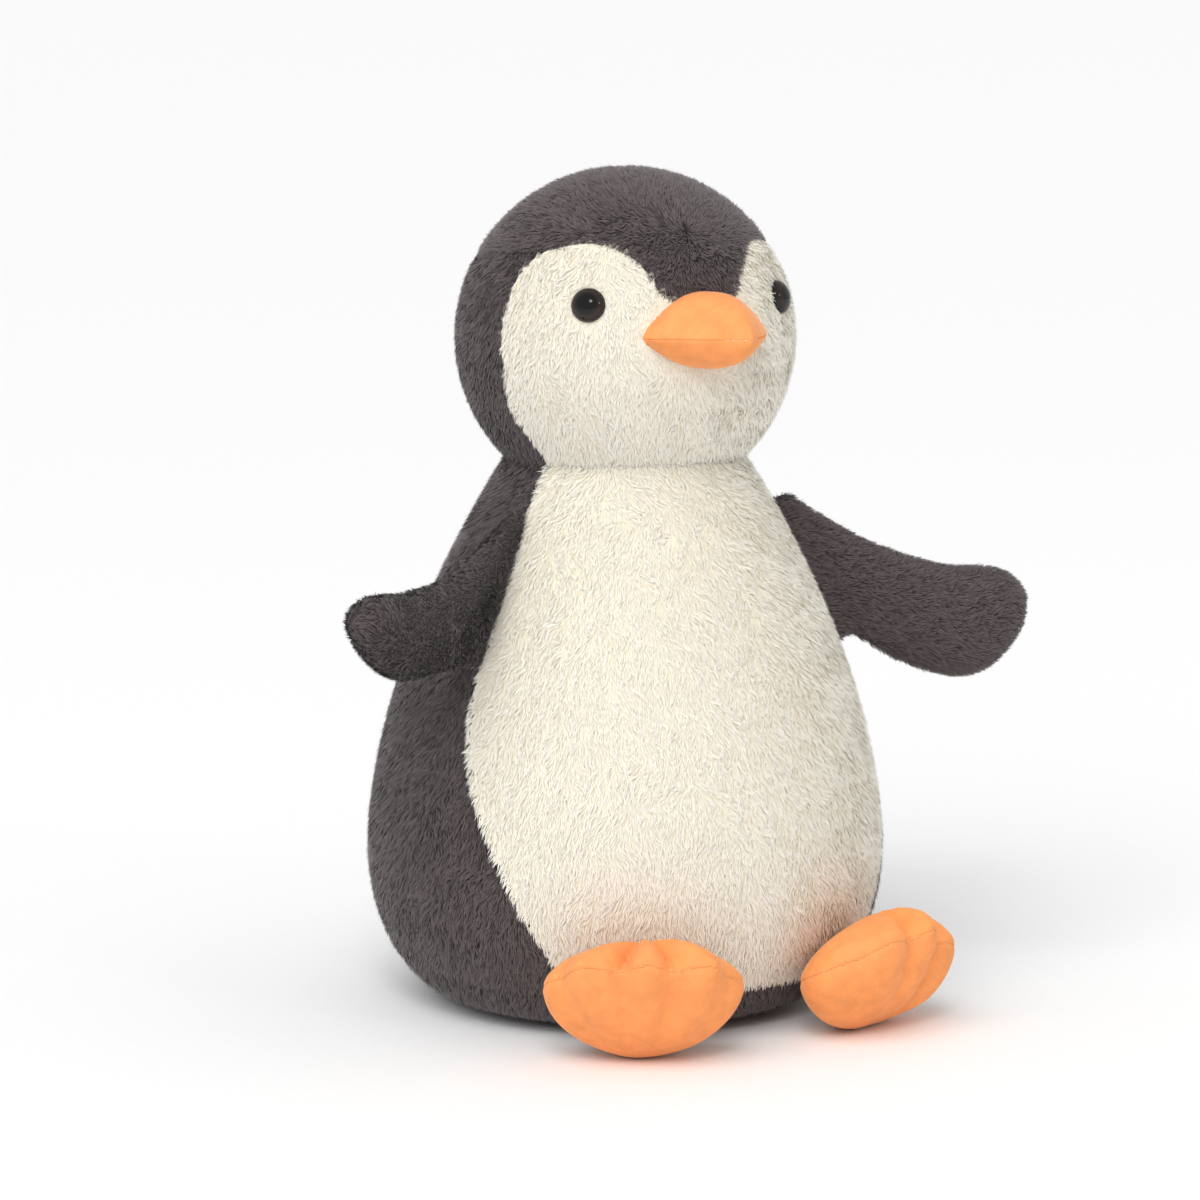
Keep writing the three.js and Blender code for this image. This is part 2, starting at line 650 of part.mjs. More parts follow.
// Frame of a foot: its heel on the torso's side at the height of its seam.
function footPlace(side) {
  const heel = torsoRadius(FOOT_SEAM_HEIGHT) + FOOT_CLEARANCE;
  const [x, y] = around(heel, side * FOOT_ANGLE, 0);
  const turn = new THREE.Matrix4().makeRotationZ((side * FOOT_ANGLE - 90) * DEG);
  return new THREE.Matrix4().makeTranslation(x, y, 0).multiply(turn);
}

// The torso at each lift of the foot, in the foot's frame, to leave room behind the foot.
function footRoom() {
  const top = 2 * GIRTH_HEIGHT;
  const heights = torsoHeights(0, top, 14);
  const profile = heights.map((z) => [torsoRadius(z) + LIFT_MARGIN, z]);
  const torso = turned([[0, 0], ...profile, [0, top]], 72);
  const heel = torsoRadius(FOOT_SEAM_HEIGHT) + FOOT_CLEARANCE;
  torso.translate(-heel, 0, -FOOT_SEAM_HEIGHT);
  const steps = 3;
  let room = toSolid(torso);
  for (let i = 1; i <= steps; i += 1) {
    const turn = (FOOT_LIFT_RANGE * i) / steps * DEG;
    room = room.add(toSolid(torso.clone().rotateY(turn)));
  }
  return toSolid(fromSolid(room).translate(0, 0, FOOT_SEAM_HEIGHT));
}

function footPieces(foot) {
  const room = footRoom();
  const half = (upwards) => {
    const surface = (inset) => (u, v) => footPoint(foot, u, 360 * v - 180, upwards, inset);
    return panel(surface(0), surface(SUEDETTE), 4, FOOT_SEGMENTS, true);
  };
  const inside = SUEDETTE + FILL_GAP;
  const fill = (u, v) => {
    const share = 1 - Math.abs(2 * u - 1);
    return footPoint(foot, share, 360 * v - 180, u > 0.5, inside);
  };
  const cut = (geometry) => fromSolid(toSolid(geometry).subtract(room));
  return {
    top: cut(half(true)),
    sole: cut(half(false)),
    fill: cut(plump(fill, 8, FOOT_SEGMENTS)),
  };
}

// ---- Assembly ----

const FINISHES = {
  dark_plush: { color: 0x564e4e, roughness: 0.95 },
  cream_plush: { color: 0xeee8d6, roughness: 0.95 },
  suedette: { color: 0xfa9a55, roughness: 0.8 },
  fibre: { color: 0xf4f4f2, roughness: 1 },
  pouch_cloth: { color: 0xdcdcd8, roughness: 0.9 },
  eye_plastic: { color: 0x0c0b0b, roughness: 0.08 },
  washer_plastic: { color: 0xd8d8d4, roughness: 0.5 },
};
const materials = Object.fromEntries(
  Object.entries(FINISHES).map(([name, look]) => [
    name,
    new THREE.MeshStandardMaterial({ ...look, metalness: 0 }),
  ]),
);

function node(name, geometry, finish) {
  geometry.computeVertexNormals();
  const mesh = new THREE.Mesh(geometry, materials[finish]);
  mesh.name = name;
  return mesh;
}

// A group that holds its nodes at a placing matrix.
function placed(matrix, nodes) {
  const group = new THREE.Group();
  matrix.decompose(group.position, group.quaternion, group.scale);
  group.add(...nodes);
  return group;
}

function torsoGroup() {
  const group = new THREE.Group();
  const front = torsoPanel((z) => -tummyEdge(z), tummyEdge, 14);
  group.add(node('tummy_panel', front, 'cream_plush'));
  const backLeft = torsoPanel(tummyEdge, () => 180, 11);
  group.add(node('back_panel_left', backLeft, 'dark_plush'));
  group.add(node('back_panel_right', mirrored(backLeft), 'dark_plush'));
  group.add(node('base_panel', basePanel(), 'dark_plush'));
  group.add(node('body_fill', bodyFill(), 'fibre'));
  group.add(node('pellet_pouch', pelletPouch(), 'pouch_cloth'));
  return group;
}

function headGroup() {
  const group = new THREE.Group();
  const finishes = { face_panel: 'cream_plush', head_fill: 'fibre' };
  for (const [name, geometry] of Object.entries(headPieces())) {
    group.add(node(name, geometry, finishes[name] ?? 'dark_plush'));
  }
  const beak = beakPieces();
  group.add(node('beak_upper', beak.beak_upper, 'suedette'));
  group.add(node('beak_lower', beak.beak_lower, 'suedette'));
  group.add(node('beak_fill', beak.beak_fill, 'fibre'));
  for (const [name, side] of SIDES) {
    const eye = node(`eye_${name}`, eyeBody(), 'eye_plastic');
    const bore = SHANK_RADIUS + SEAM_GAP;
    const washer = node(`eye_washer_${name}`, washerBody(bore, 0), 'washer_plastic');
    group.add(placed(eyePlace(side), [eye, washer]));
  }
  return group;
}

// The back of a wing is the face that looks away from the tummy: it is the second half of the
// right wing and the first half of the left one.
function wingGroup(name, side) {
  const { first, second, fill } = wingPieces(name);
  const [back, front] = side > 0 ? [first, second] : [second, first];
  return placed(wingPlace(name, side), [
    node(`wing_back_panel_${name}`, back, 'dark_plush'),
    node(`wing_front_panel_${name}`, front, 'dark_plush'),
    node(`wing_fill_${name}`, fill, 'fibre'),
  ]);
}

function footGroup(name, side) {
  const { top, sole, fill } = footPieces({ side, droop: TOE_DROOP[name] });
  return placed(footPlace(side), [
    node(`foot_top_${name}`, top, 'suedette'),
    node(`foot_sole_${name}`, sole, 'suedette'),
    node(`foot_fill_${name}`, fill, 'fibre'),
  ]);
}

const penguin = new THREE.Group();
penguin.add(torsoGroup());
penguin.add(headGroup());
for (const [name, side] of SIDES) {
  penguin.add(wingGroup(name, side));
  penguin.add(footGroup(name, side));
}

export default penguin;
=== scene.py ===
"""A sitting plush penguin: sewn skins pressed out by their filling, pile on the skins, suedette
feet and beak, and glossy eyes. Metres, +Z up, beak towards -Y, the toy's own right at -X."""

import json
import math

import bpy
import numpy as np
from bpy.props import FloatProperty, FloatVectorProperty, IntProperty, PointerProperty
from mathutils import Matrix, Vector, noise


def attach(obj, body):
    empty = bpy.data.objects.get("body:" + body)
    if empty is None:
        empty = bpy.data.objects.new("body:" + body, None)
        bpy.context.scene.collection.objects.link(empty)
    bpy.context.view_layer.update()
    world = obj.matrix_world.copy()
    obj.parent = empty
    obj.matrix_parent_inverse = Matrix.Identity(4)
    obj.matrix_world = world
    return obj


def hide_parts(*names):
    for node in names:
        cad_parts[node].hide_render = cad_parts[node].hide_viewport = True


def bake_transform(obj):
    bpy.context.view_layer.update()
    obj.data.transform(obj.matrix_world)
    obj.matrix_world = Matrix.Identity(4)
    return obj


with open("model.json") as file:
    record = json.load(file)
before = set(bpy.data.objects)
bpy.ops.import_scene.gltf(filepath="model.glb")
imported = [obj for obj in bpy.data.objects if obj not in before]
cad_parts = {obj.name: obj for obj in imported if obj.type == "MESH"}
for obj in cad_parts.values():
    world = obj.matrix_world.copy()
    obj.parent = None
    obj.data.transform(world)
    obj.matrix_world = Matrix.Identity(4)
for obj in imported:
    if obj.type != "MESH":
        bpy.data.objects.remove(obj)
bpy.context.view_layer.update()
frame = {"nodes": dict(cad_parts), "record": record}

bl_info = {
    "name": "Plush penguin",
    "version": (1, 0, 0),
    "blender": (4, 5, 0),
    "location": "3D View > Sidebar > Penguin",
    "description": "Builds a sitting plush penguin on its packed frame",
    "category": "Object",
}

MM = 0.001
SIDES = (("right", -1), ("left", 1))

# The torso's outline, as in the frame.
GIRTH_RADIUS = 157 * MM
GIRTH_HEIGHT = 92 * MM
BASE_RADIUS = 97 * MM
BASE_SEAM = 30 * MM
NECK_HEIGHT = 325 * MM
SHOULDER_POWER = 1.75
TUMMY_EDGE = 71
TUMMY_EDGE_BOTTOM = 40
TUMMY_TAPER = 180 * MM
TUMMY_TAPER_POWER = 1.3

# The head, and the face's outline in degrees of longitude and latitude.
HEAD_CENTRE = 397 * MM
HEAD_HALF = (104.5 * MM, 100 * MM, 103 * MM)
NECK_RADIUS = HEAD_HALF[0] * math.sqrt(1 - ((HEAD_CENTRE - NECK_HEIGHT) / HEAD_HALF[2]) ** 2)
LOBE = (43, 5)
LOBE_HALF = (31, 32)
LOBE_START = 157
LOBE_POWER = 2.8
PEAK_LATITUDE = 11
JOWL_LATITUDE = -20
THROAT = (63, -60)
CROWN_SEAM = 449 * MM
CROWN_FALL = 0.08
EYE = (41, 15)
EYE_RECESS = 4.5 * MM

# The beak, the wings and the feet.
BEAK_HEIGHT = 404 * MM
BEAK_HALF_WIDTH = 39 * MM
BEAK_RISE = 26 * MM
BEAK_DROP = 18 * MM
BEAK_LENGTH = 48 * MM
BEAK_ROOT = 14 * MM
BEAK_TILT = 2
WING_ANGLE = 71
WING_POSE = {"right": (65, 54 * MM), "left": (76, 77 * MM)}
WING_SEAM_TOP = 306 * MM
WING_SEAM_BOTTOM = 212 * MM
WING_BEAD = 6 * MM
WING_HALF_THICKNESS = 18 * MM
WING_REACH = 110 * MM
WING_CLEARANCE = 2.5 * MM
FOOT_ANGLE = 26
FOOT_SEAM = 25 * MM
FOOT_LENGTH = 68 * MM
FOOT_HALF_WIDTH = 59 * MM
FOOT_RISE = 26 * MM
FOOT_DEPTH = 43 * MM
TOE_LIFT = 35 * MM
TOE_LIFT_POWER = 0.8
TOE_DROOP = {"right": 0, "left": 24 * MM}
TOE_PITCH = 44
TOE_REACH = 11 * MM
TOE_ARCH = 3 * MM
FOOT_CLEARANCE = 2 * MM

# Along v a strand goes from painted shade at its root to a painted highlight at its tip.
PILE_UV = "OFBake"          # u is a strand's shade, v runs from its root to its tip
TUMMY_DENSITY = 1120000
BACK_DENSITY = 1080000
BASE_DENSITY = 700000
HEAD_DENSITY = 1380000
WING_DENSITY = 1380000
# The stage: widths in metres, powers in watts, the camera's lens and sensor in millimetres.
WORLD_LIGHT = 0.66             # the white surroundings as a light
OVERHEAD_ANGLE = math.radians(50)
KEY_SIZE, KEY_POWER = 0.6, 10
FILL_SIZE, FILL_POWER = 0.35, 3
LENS, SENSOR = 128.7, 36
AIM_RIGHT, AIM_UP = -15.15 * MM, 236.3 * MM
SHADE_WIDTH = 0.03          # how much of u one strand takes up


def linear(code):
    """Linear colour of an sRGB hex value."""
    parts = [int(code[i : i + 2], 16) / 255 for i in (0, 2, 4)]
    return tuple(c / 12.92 if c <= 0.04045 else ((c + 0.055) / 1.055) ** 2.4 for c in parts)


# ---- What a user may change ----


class PileSettings(bpy.types.PropertyGroup):
    """The long soft pile of the body and head cloth."""

    charcoal: FloatVectorProperty(
        name="Charcoal", description="Colour of the dark pile half way up its strands",
        subtype="COLOR", size=3, min=0, max=1, default=linear("5a5151"))
    cream: FloatVectorProperty(
        name="Cream", description="Colour of the pale pile half way up its strands",
        subtype="COLOR", size=3, min=0, max=1, default=linear("fbf6e9"))
    length: FloatProperty(
        name="Strand length", description="Length of the body's strands",
        unit="LENGTH", min=0.002, max=0.02, default=5.7 * MM)
    width: FloatProperty(
        name="Strand width", description="Width of a tuft of strands at its root",
        unit="LENGTH", min=0.0003, max=0.003, default=0.46 * MM)
    rise: FloatProperty(
        name="Pile height", description="How far the pile's surface stands off its backing",
        unit="LENGTH", min=0.001, max=0.01, default=3 * MM)
    lean: FloatProperty(
        name="Lean", description="How far the strands lie over from upright",
        subtype="ANGLE", min=0, max=1.4, default=math.radians(62))
    clump: FloatProperty(
        name="Clump size", description="Distance over which strands lean the same way",
        unit="LENGTH", min=0.002, max=0.05, default=6 * MM)


class FillingSettings(bpy.types.PropertyGroup):
    """How the filling presses the sewn skins out."""

    voxel: FloatProperty(
        name="Cloth step", description="Size of the cloth's mesh before it is pressed out",
        unit="LENGTH", min=0.002, max=0.02, default=5 * MM)
    pressure: FloatProperty(
        name="Pressure", description="Pressure of the filling", min=0, max=50, default=4)
    swell: FloatProperty(
        name="Swell", description="Furthest that a panel's middle is pressed out",
        unit="LENGTH", min=0, max=0.02, default=2.5 * MM)
    frames: IntProperty(
        name="Steps", description="Steps of the cloth simulation", min=2, max=100, default=20)


class SuedetteSettings(bpy.types.PropertyGroup):
    """The smooth orange cloth of the feet and beak."""

    colour: FloatVectorProperty(
        name="Orange", description="Colour of the suedette", subtype="COLOR", size=3,
        min=0, max=1, default=linear("f59d5e"))
    groove: FloatProperty(
        name="Toe grooves", description="Depth of the sewn grooves between the toes",
        unit="LENGTH", min=0, max=0.02, default=20 * MM)
    pucker: FloatProperty(
        name="Seam pucker", description="How far a seam pulls the cloth in",
        unit="LENGTH", min=0, max=0.005, default=0.7 * MM)


class EyeSettings(bpy.types.PropertyGroup):
    """The domed plastic safety eyes."""

    radius: FloatProperty(
        name="Radius", description="Radius of an eye", unit="LENGTH",
        min=0.002, max=0.03, default=10 * MM)
    dome: FloatProperty(
        name="Dome", description="Height of the dome over its seat", unit="LENGTH",
        min=0.001, max=0.02, default=6.5 * MM)


class StageSettings(bpy.types.PropertyGroup):
    """Floor, light and camera."""

    azimuth: FloatProperty(
        name="Azimuth", description="Camera's angle round the toy from straight ahead",
        subtype="ANGLE", default=math.radians(-29))
    elevation: FloatProperty(
        name="Elevation", description="Camera's angle above the horizon",
        subtype="ANGLE", default=math.radians(8.5))
    distance: FloatProperty(
        name="Distance", description="Camera's distance", unit="LENGTH", default=2.6)
    overhead: FloatProperty(
        name="Overhead light", description="Strength of the large soft light", default=1.85)


GROUPS = {
    "penguin_pile": PileSettings,
    "penguin_filling": FillingSettings,
    "penguin_suedette": SuedetteSettings,
    "penguin_eyes": EyeSettings,
    "penguin_stage": StageSettings,
}


# ---- Node trees ----


def add(tree, kind, inputs=None, **settings):
    """Adds a node with its settings. An input is a value, or the output that it is linked to."""
    node = tree.nodes.new(kind)
    for name, value in settings.items():
        setattr(node, name, value)
    for key, value in (inputs or {}).items():
        if isinstance(value, bpy.types.NodeSocket):
            tree.links.new(value, node.inputs[key])
        else:
            node.inputs[key].default_value = value
    return node


def surface(name, **settings):
    """A material whose shader has the given uniform settings; returns it, its tree and shader."""
    material = bpy.data.materials.new(name)
    material.use_nodes = True
    tree = material.node_tree
    shader = tree.nodes["Principled BSDF"]
    for key, value in settings.items():
        shader.inputs[key.replace("_", " ").title().replace("Ior", "IOR")].default_value = value
    return material, tree, shader


def pile_material(name, middle, root, tip, darkest, palest):
    """Acrylic pile, knitted in and brushed: soft strands, with painted shade at their roots where they
    shade each other and a painted highlight at their ends, and a faint halo where they are seen edge
    on. The strands themselves are mesh."""
    material, tree, shader = surface(
        name, roughness=0.9, specular_ior_level=0.15, sheen_weight=0.25, sheen_roughness=0.6)
    uv = add(tree, "ShaderNodeUVMap", uv_map=PILE_UV)
    split = add(tree, "ShaderNodeSeparateXYZ", {0: uv.outputs[0]})
    # Root colour: painted shade between the strands; tip colour: painted highlight on their ends.
    ramp = add(tree, "ShaderNodeValToRGB", {0: split.outputs["Y"]})
    stops = ramp.color_ramp.elements
    stops[0].position, stops[0].color = 0.0, (*linear(root), 1)
    stops[1].position, stops[1].color = 1.0, (*linear(tip), 1)
    stops.new(0.45).color = (*middle, 1)
    shade = add(
        tree, "ShaderNodeMapRange", {0: split.outputs["X"], 1: 0.0, 2: 1.0, 3: darkest, 4: palest})
    tinted = add(
        tree, "ShaderNodeVectorMath", {0: ramp.outputs[0], "Scale": shade.outputs[0]},
        operation="SCALE")
    tree.links.new(tinted.outputs[0], shader.inputs["Base Color"])
    return material


def suedette_material():
    """Suedette, a fine knit with its face brushed to a nap: matt and warm, mottled where the
    nap lies differently, with a pale bloom at its edges."""
    settings = bpy.context.scene.penguin_suedette
    material, tree, shader = surface(
        "Brushed orange suedette", roughness=0.85, specular_ior_level=0.2, sheen_weight=0.35,
        sheen_roughness=0.35)
    shader.inputs["Sheen Tint"].default_value = (*linear("ffd9b8"), 1)
    place = add(tree, "ShaderNodeTexCoord").outputs["Object"]
    # Patches of nap about 9 mm across, and fibres drawn 0.8 mm across, as finer ones don't show.
    mottle = add(tree, "ShaderNodeTexNoise", {"Vector": place, "Scale": 1 / (9 * MM), "Detail": 3.0})
    grain = add(tree, "ShaderNodeTexNoise", {"Vector": place, "Scale": 1 / (0.8 * MM), "Detail": 2.0})
    shade = add(
        tree, "ShaderNodeMapRange", {0: mottle.outputs[0], 1: 0.3, 2: 0.7, 3: 0.9, 4: 1.06})
    speck = add(
        tree, "ShaderNodeMapRange", {0: grain.outputs[0], 1: 0.3, 2: 0.7, 3: 0.95, 4: 1.04})
    both = add(
        tree, "ShaderNodeMath", {0: shade.outputs[0], 1: speck.outputs[0]}, operation="MULTIPLY")
    tinted = add(
        tree, "ShaderNodeVectorMath", {0: settings.colour, "Scale": both.outputs[0]},
        operation="SCALE")
    tree.links.new(tinted.outputs[0], shader.inputs["Base Color"])
    bump = add(
        tree, "ShaderNodeBump", {"Strength": 0.25, "Distance": 0.3 * MM, "Height": grain.outputs[0]})
    tree.links.new(bump.outputs[0], shader.inputs["Normal"])
    return material


def eye_material():
    """Acrylic safety eye, moulded and polished: black in the middle, with a dark brown ring
    under the gloss near its rim."""
    material, tree, shader = surface(
        "Polished acrylic eye", roughness=0.05, specular_ior_level=0.4)
    ring = add(tree, "ShaderNodeAttribute", attribute_name="rim")
    ramp = add(tree, "ShaderNodeValToRGB", {0: ring.outputs["Fac"]})
    stops = ramp.color_ramp.elements
    stops[0].position, stops[0].color = 0.55, (*linear("030303"), 1)
    stops[1].position, stops[1].color = 0.97, (*linear("0d0a09"), 1)
    stops.new(0.75).color = (*linear("2a1c16"), 1)
    tree.links.new(ramp.outputs[0], shader.inputs["Base Color"])
    return material


def hidden_material(name, dark, pale, scale, roughness, bump_depth):
    """A plain material for the parts inside, with its colour varied over a real scale."""
    material, tree, shader = surface(name, roughness=roughness)
    place = add(tree, "ShaderNodeTexCoord").outputs["Object"]
    pattern = add(tree, "ShaderNodeTexNoise", {"Vector": place, "Scale": 1 / scale, "Detail": 4.0})
    ramp = add(tree, "ShaderNodeValToRGB", {0: pattern.outputs[0]})
    ramp.color_ramp.elements[0].color = (*linear(dark), 1)
    ramp.color_ramp.elements[1].color = (*linear(pale), 1)
    tree.links.new(ramp.outputs[0], shader.inputs["Base Color"])
    bump = add(
        tree, "ShaderNodeBump", {"Strength": 0.5, "Distance": bump_depth, "Height": pattern.outputs[0]})
    tree.links.new(bump.outputs[0], shader.inputs["Normal"])
    return material


def found(name, make, *values):
    """The material of that name, made the first time it is asked for."""
    return bpy.data.materials.get(name) or make(*values)


def charcoal_pile():
    """The dark pile."""
    middle = bpy.context.scene.penguin_pile.charcoal
    # The root colour 332b2d is painted shade between the strands, and the tip colour 736967 a painted
    # highlight.
    return found("Charcoal acrylic pile", pile_material, "Charcoal acrylic pile", middle,
                 "332b2d", "736967", 0.78, 1.2)


def cream_pile():
    """The pale pile."""
    middle = bpy.context.scene.penguin_pile.cream
    # The root colour f3ecd8 is painted shade between the strands, and the tip colour fffdf6 a painted
    # highlight.
    return found("Cream acrylic pile", pile_material, "Cream acrylic pile", middle,
                 "f3ecd8", "fffdf6", 0.96, 1.05)


def pile_tree():
    """The pile as a node tree: tufts scattered over a skin, leaning with its nap in clumps."""
    tree = bpy.data.node_groups.new("Pile", "GeometryNodeTree")
    sockets = (
        ("Skin", "NodeSocketGeometry"), ("Tuft", "NodeSocketObject"),
        ("Density", "NodeSocketFloat"), ("Length", "NodeSocketFloat"),
        ("Width", "NodeSocketFloat"), ("Lean", "NodeSocketFloat"),
        ("Clump", "NodeSocketFloat"), ("Seed", "NodeSocketInt"),
        ("Floor", "NodeSocketFloat"), ("Cloth", "NodeSocketMaterial"),
    )
    for name, kind in sockets:
        tree.interface.new_socket(name, in_out="INPUT", socket_type=kind)
    tree.interface.new_socket("Pile", in_out="OUTPUT", socket_type="NodeSocketGeometry")
    given = add(tree, "NodeGroupInput").outputs

    def attribute(name, data_type="FLOAT"):
        node = add(tree, "GeometryNodeInputNamedAttribute", {"Name": name}, data_type=data_type)
        return node.outputs[0]

    def vector(operation, *inputs):
        scale = {"Scale": inputs[-1]} if operation == "SCALE" else {}
        plain = inputs[:-1] if scale else inputs
        node = add(tree, "ShaderNodeVectorMath", {**dict(enumerate(plain)), **scale},
                   operation=operation)
        return node.outputs[0]

    def maths(operation, *inputs):
        return add(tree, "ShaderNodeMath", dict(enumerate(inputs)), operation=operation).outputs[0]

    # Roots, only where the skin is inside this panel's seams.
    roots = add(
        tree, "GeometryNodeDistributePointsOnFaces",
        {"Mesh": given["Skin"], "Density": given["Density"], "Seed": given["Seed"]})
    outside = add(
        tree, "FunctionNodeCompare", {0: attribute("inside"), 1: 0.0},
        data_type="FLOAT", operation="LESS_THAN")
    kept = add(
        tree, "GeometryNodeDeleteGeometry",
        {"Geometry": roots.outputs["Points"], "Selection": outside.outputs[0]}, domain="POINT")
    normal = add(
        tree, "GeometryNodeStoreNamedAttribute",
        {"Geometry": roots.outputs["Points"], "Name": "up", "Value": roots.outputs["Normal"]},
        data_type="FLOAT_VECTOR", domain="POINT")
    tree.links.new(normal.outputs[0], kept.inputs["Geometry"])
    up = attribute("up", "FLOAT_VECTOR")

    # Lean: the nap, turned aside in clumps, and a little by each tuft.
    place = add(tree, "GeometryNodeInputPosition").outputs[0]
    fine = maths("DIVIDE", 1.0, given["Clump"])
    clumps = add(tree, "ShaderNodeTexNoise", {"Vector": place, "Scale": fine, "Detail": 1.0})
    swirls = add(
        tree, "ShaderNodeTexNoise",
        {"Vector": place, "Scale": maths("MULTIPLY", fine, 0.22), "Detail": 1.0})
    aside = vector("SCALE", vector("SUBTRACT", clumps.outputs["Color"], (0.5, 0.5, 0.5)), 2.4)
    swirl = vector("SCALE", vector("SUBTRACT", swirls.outputs["Color"], (0.5, 0.5, 0.5)), 1.8)
    stray = add(
        tree, "FunctionNodeRandomValue",
        {0: (-0.26, -0.26, -0.26), 1: (0.26, 0.26, 0.26), "Seed": given["Seed"]},
        data_type="FLOAT_VECTOR").outputs[0]
    nap = vector("ADD", attribute("nap", "FLOAT_VECTOR"), vector("ADD", aside, swirl))
    off = add(tree, "ShaderNodeVectorMath", {0: nap, 1: up}, operation="DOT_PRODUCT").outputs["Value"]
    flat = vector("NORMALIZE", vector("SUBTRACT", nap, vector("SCALE", up, off)))
    over = vector("SCALE", vector("ADD", flat, stray), maths("SINE", given["Lean"]))
    upright = vector("SCALE", up, maths("COSINE", given["Lean"]))
    heading = vector("NORMALIZE", vector("ADD", over, upright))
    along = add(
        tree, "FunctionNodeAlignRotationToVector", {"Vector": heading}, axis="Z")
    faced = add(
        tree, "FunctionNodeAlignRotationToVector",
        {"Rotation": along.outputs[0], "Vector": up}, axis="Y", pivot_axis="Z")
    roll = add(
        tree, "FunctionNodeRandomValue", {2: -0.8, 3: 0.8, "Seed": maths("ADD", given["Seed"], 1)},
        data_type="FLOAT").outputs[1]
    turn = add(tree, "FunctionNodeAxisAngleToRotation", {"Axis": (0, 0, 1), "Angle": roll})
    rolled = add(
        tree, "FunctionNodeRotateRotation", {0: faced.outputs[0], 1: turn.outputs[0]},
        rotation_space="LOCAL")

    # Size and shade of each tuft.
    chance = add(
        tree, "FunctionNodeRandomValue", {2: 0.72, 3: 1.2, "Seed": maths("ADD", given["Seed"], 2)},
        data_type="FLOAT").outputs[1]
    long = maths("MULTIPLY", maths("MULTIPLY", given["Length"], chance), attribute("reach"))
    size = add(tree, "ShaderNodeCombineXYZ", {0: given["Width"], 1: long, 2: long}).outputs[0]
    tint = add(
        tree, "FunctionNodeRandomValue", {2: 0.22, 3: 0.62, "Seed": maths("ADD", given["Seed"], 3)},
        data_type="FLOAT").outputs[1]
    broad = maths("MULTIPLY", maths("SUBTRACT", clumps.outputs[0], 0.42), 1.1)
    shade = maths("MAXIMUM", 0.04, maths("MINIMUM", 0.94, maths("ADD", tint, broad)))
    shaded = add(
        tree, "GeometryNodeStoreNamedAttribute",
        {"Geometry": kept.outputs[0], "Name": "shade", "Value": shade},
        data_type="FLOAT", domain="POINT")
    tuft = add(tree, "GeometryNodeObjectInfo", {"Object": given["Tuft"]})
    tufts = add(
        tree, "GeometryNodeInstanceOnPoints",
        {"Points": shaded.outputs[0], "Instance": tuft.outputs["Geometry"],
         "Rotation": rolled.outputs[0], "Scale": size})
    real = add(tree, "GeometryNodeRealizeInstances", {0: tufts.outputs[0]})

    # Strands lie along the floor instead of passing through it.
    where = add(tree, "ShaderNodeSeparateXYZ", {0: place})
    above = maths("MAXIMUM", where.outputs[2], given["Floor"])
    laid = add(tree, "ShaderNodeCombineXYZ", {0: where.outputs[0], 1: where.outputs[1], 2: above})
    on_floor = add(
        tree, "GeometryNodeSetPosition", {"Geometry": real.outputs[0], "Position": laid.outputs[0]})
    # A tuft is really hundreds of round fibres, so it takes light much as the pile's surface does.
    own = add(tree, "GeometryNodeInputNormal").outputs[0]
    softened = vector("NORMALIZE", vector("ADD", vector("SCALE", up, 0.8), vector("SCALE", own, 0.2)))
    lit = add(
        tree, "GeometryNodeSetMeshNormal",
        {"Mesh": on_floor.outputs[0], "Custom Normal": softened}, mode="TANGENT_SPACE")
    card = add(tree, "ShaderNodeSeparateXYZ", {0: attribute(PILE_UV, "FLOAT_VECTOR")})
    spread = add(
        tree, "ShaderNodeCombineXYZ",
        {0: maths("ADD", card.outputs[0], attribute("shade")), 1: card.outputs[1]})
    mapped = add(
        tree, "GeometryNodeStoreNamedAttribute",
        {"Geometry": lit.outputs[0], "Name": PILE_UV, "Value": spread.outputs[0]},
        data_type="FLOAT2", domain="CORNER")
    # The cloth reaches a little past its seams, so that no gap shows where panels meet.
    beyond = add(
        tree, "FunctionNodeCompare", {0: attribute("inside"), 1: -1.5 * MM},
        data_type="FLOAT", operation="LESS_THAN")
    backing = add(
        tree, "GeometryNodeDeleteGeometry",
        {"Geometry": given["Skin"], "Selection": beyond.outputs[0]}, domain="FACE")
    both = add(tree, "GeometryNodeJoinGeometry", {0: mapped.outputs[0]})
    tree.links.new(backing.outputs[0], both.inputs[0])
    whole = add(tree, "GeometryNodeRealizeInstances", {0: both.outputs[0]})
    dyed = add(
        tree, "GeometryNodeSetMaterial", {"Geometry": whole.outputs[0], "Material": given["Cloth"]})
    add(tree, "NodeGroupOutput", {0: dyed.outputs[0]})
    return tree


# ---- Meshes ----


def shown(name, mesh):
    """A new object in the scene for a mesh."""
    made = bpy.data.objects.new(name, mesh)
    bpy.context.scene.collection.objects.link(made)
    return made


def closed_mesh(name, rings):
    """A closed body through rings of points, with each end drawn to its middle."""
    count = len(rings[0])
    points = [tuple(p) for ring in rings for p in ring]
    faces = []
    for i in range(len(rings) - 1):
        for j in range(count):
            k = (j + 1) % count
            low, high = i * count, (i + 1) * count
            faces.append((low + j, low + k, high + k, high + j))
    for start, ring in ((0, rings[0]), ((len(rings) - 1) * count, rings[-1])):
        points.append(tuple(np.mean(np.array(ring), axis=0)))
        middle = len(points) - 1
        for j in range(count):
            pair = (start + j, start + (j + 1) % count)
            faces.append((*(pair if start else reversed(pair)), middle))
    mesh = bpy.data.meshes.new(name)
    mesh.from_pydata(points, [], faces)
    if volume(mesh) < 0:
        mesh.flip_normals()
    mesh.update()
    return mesh


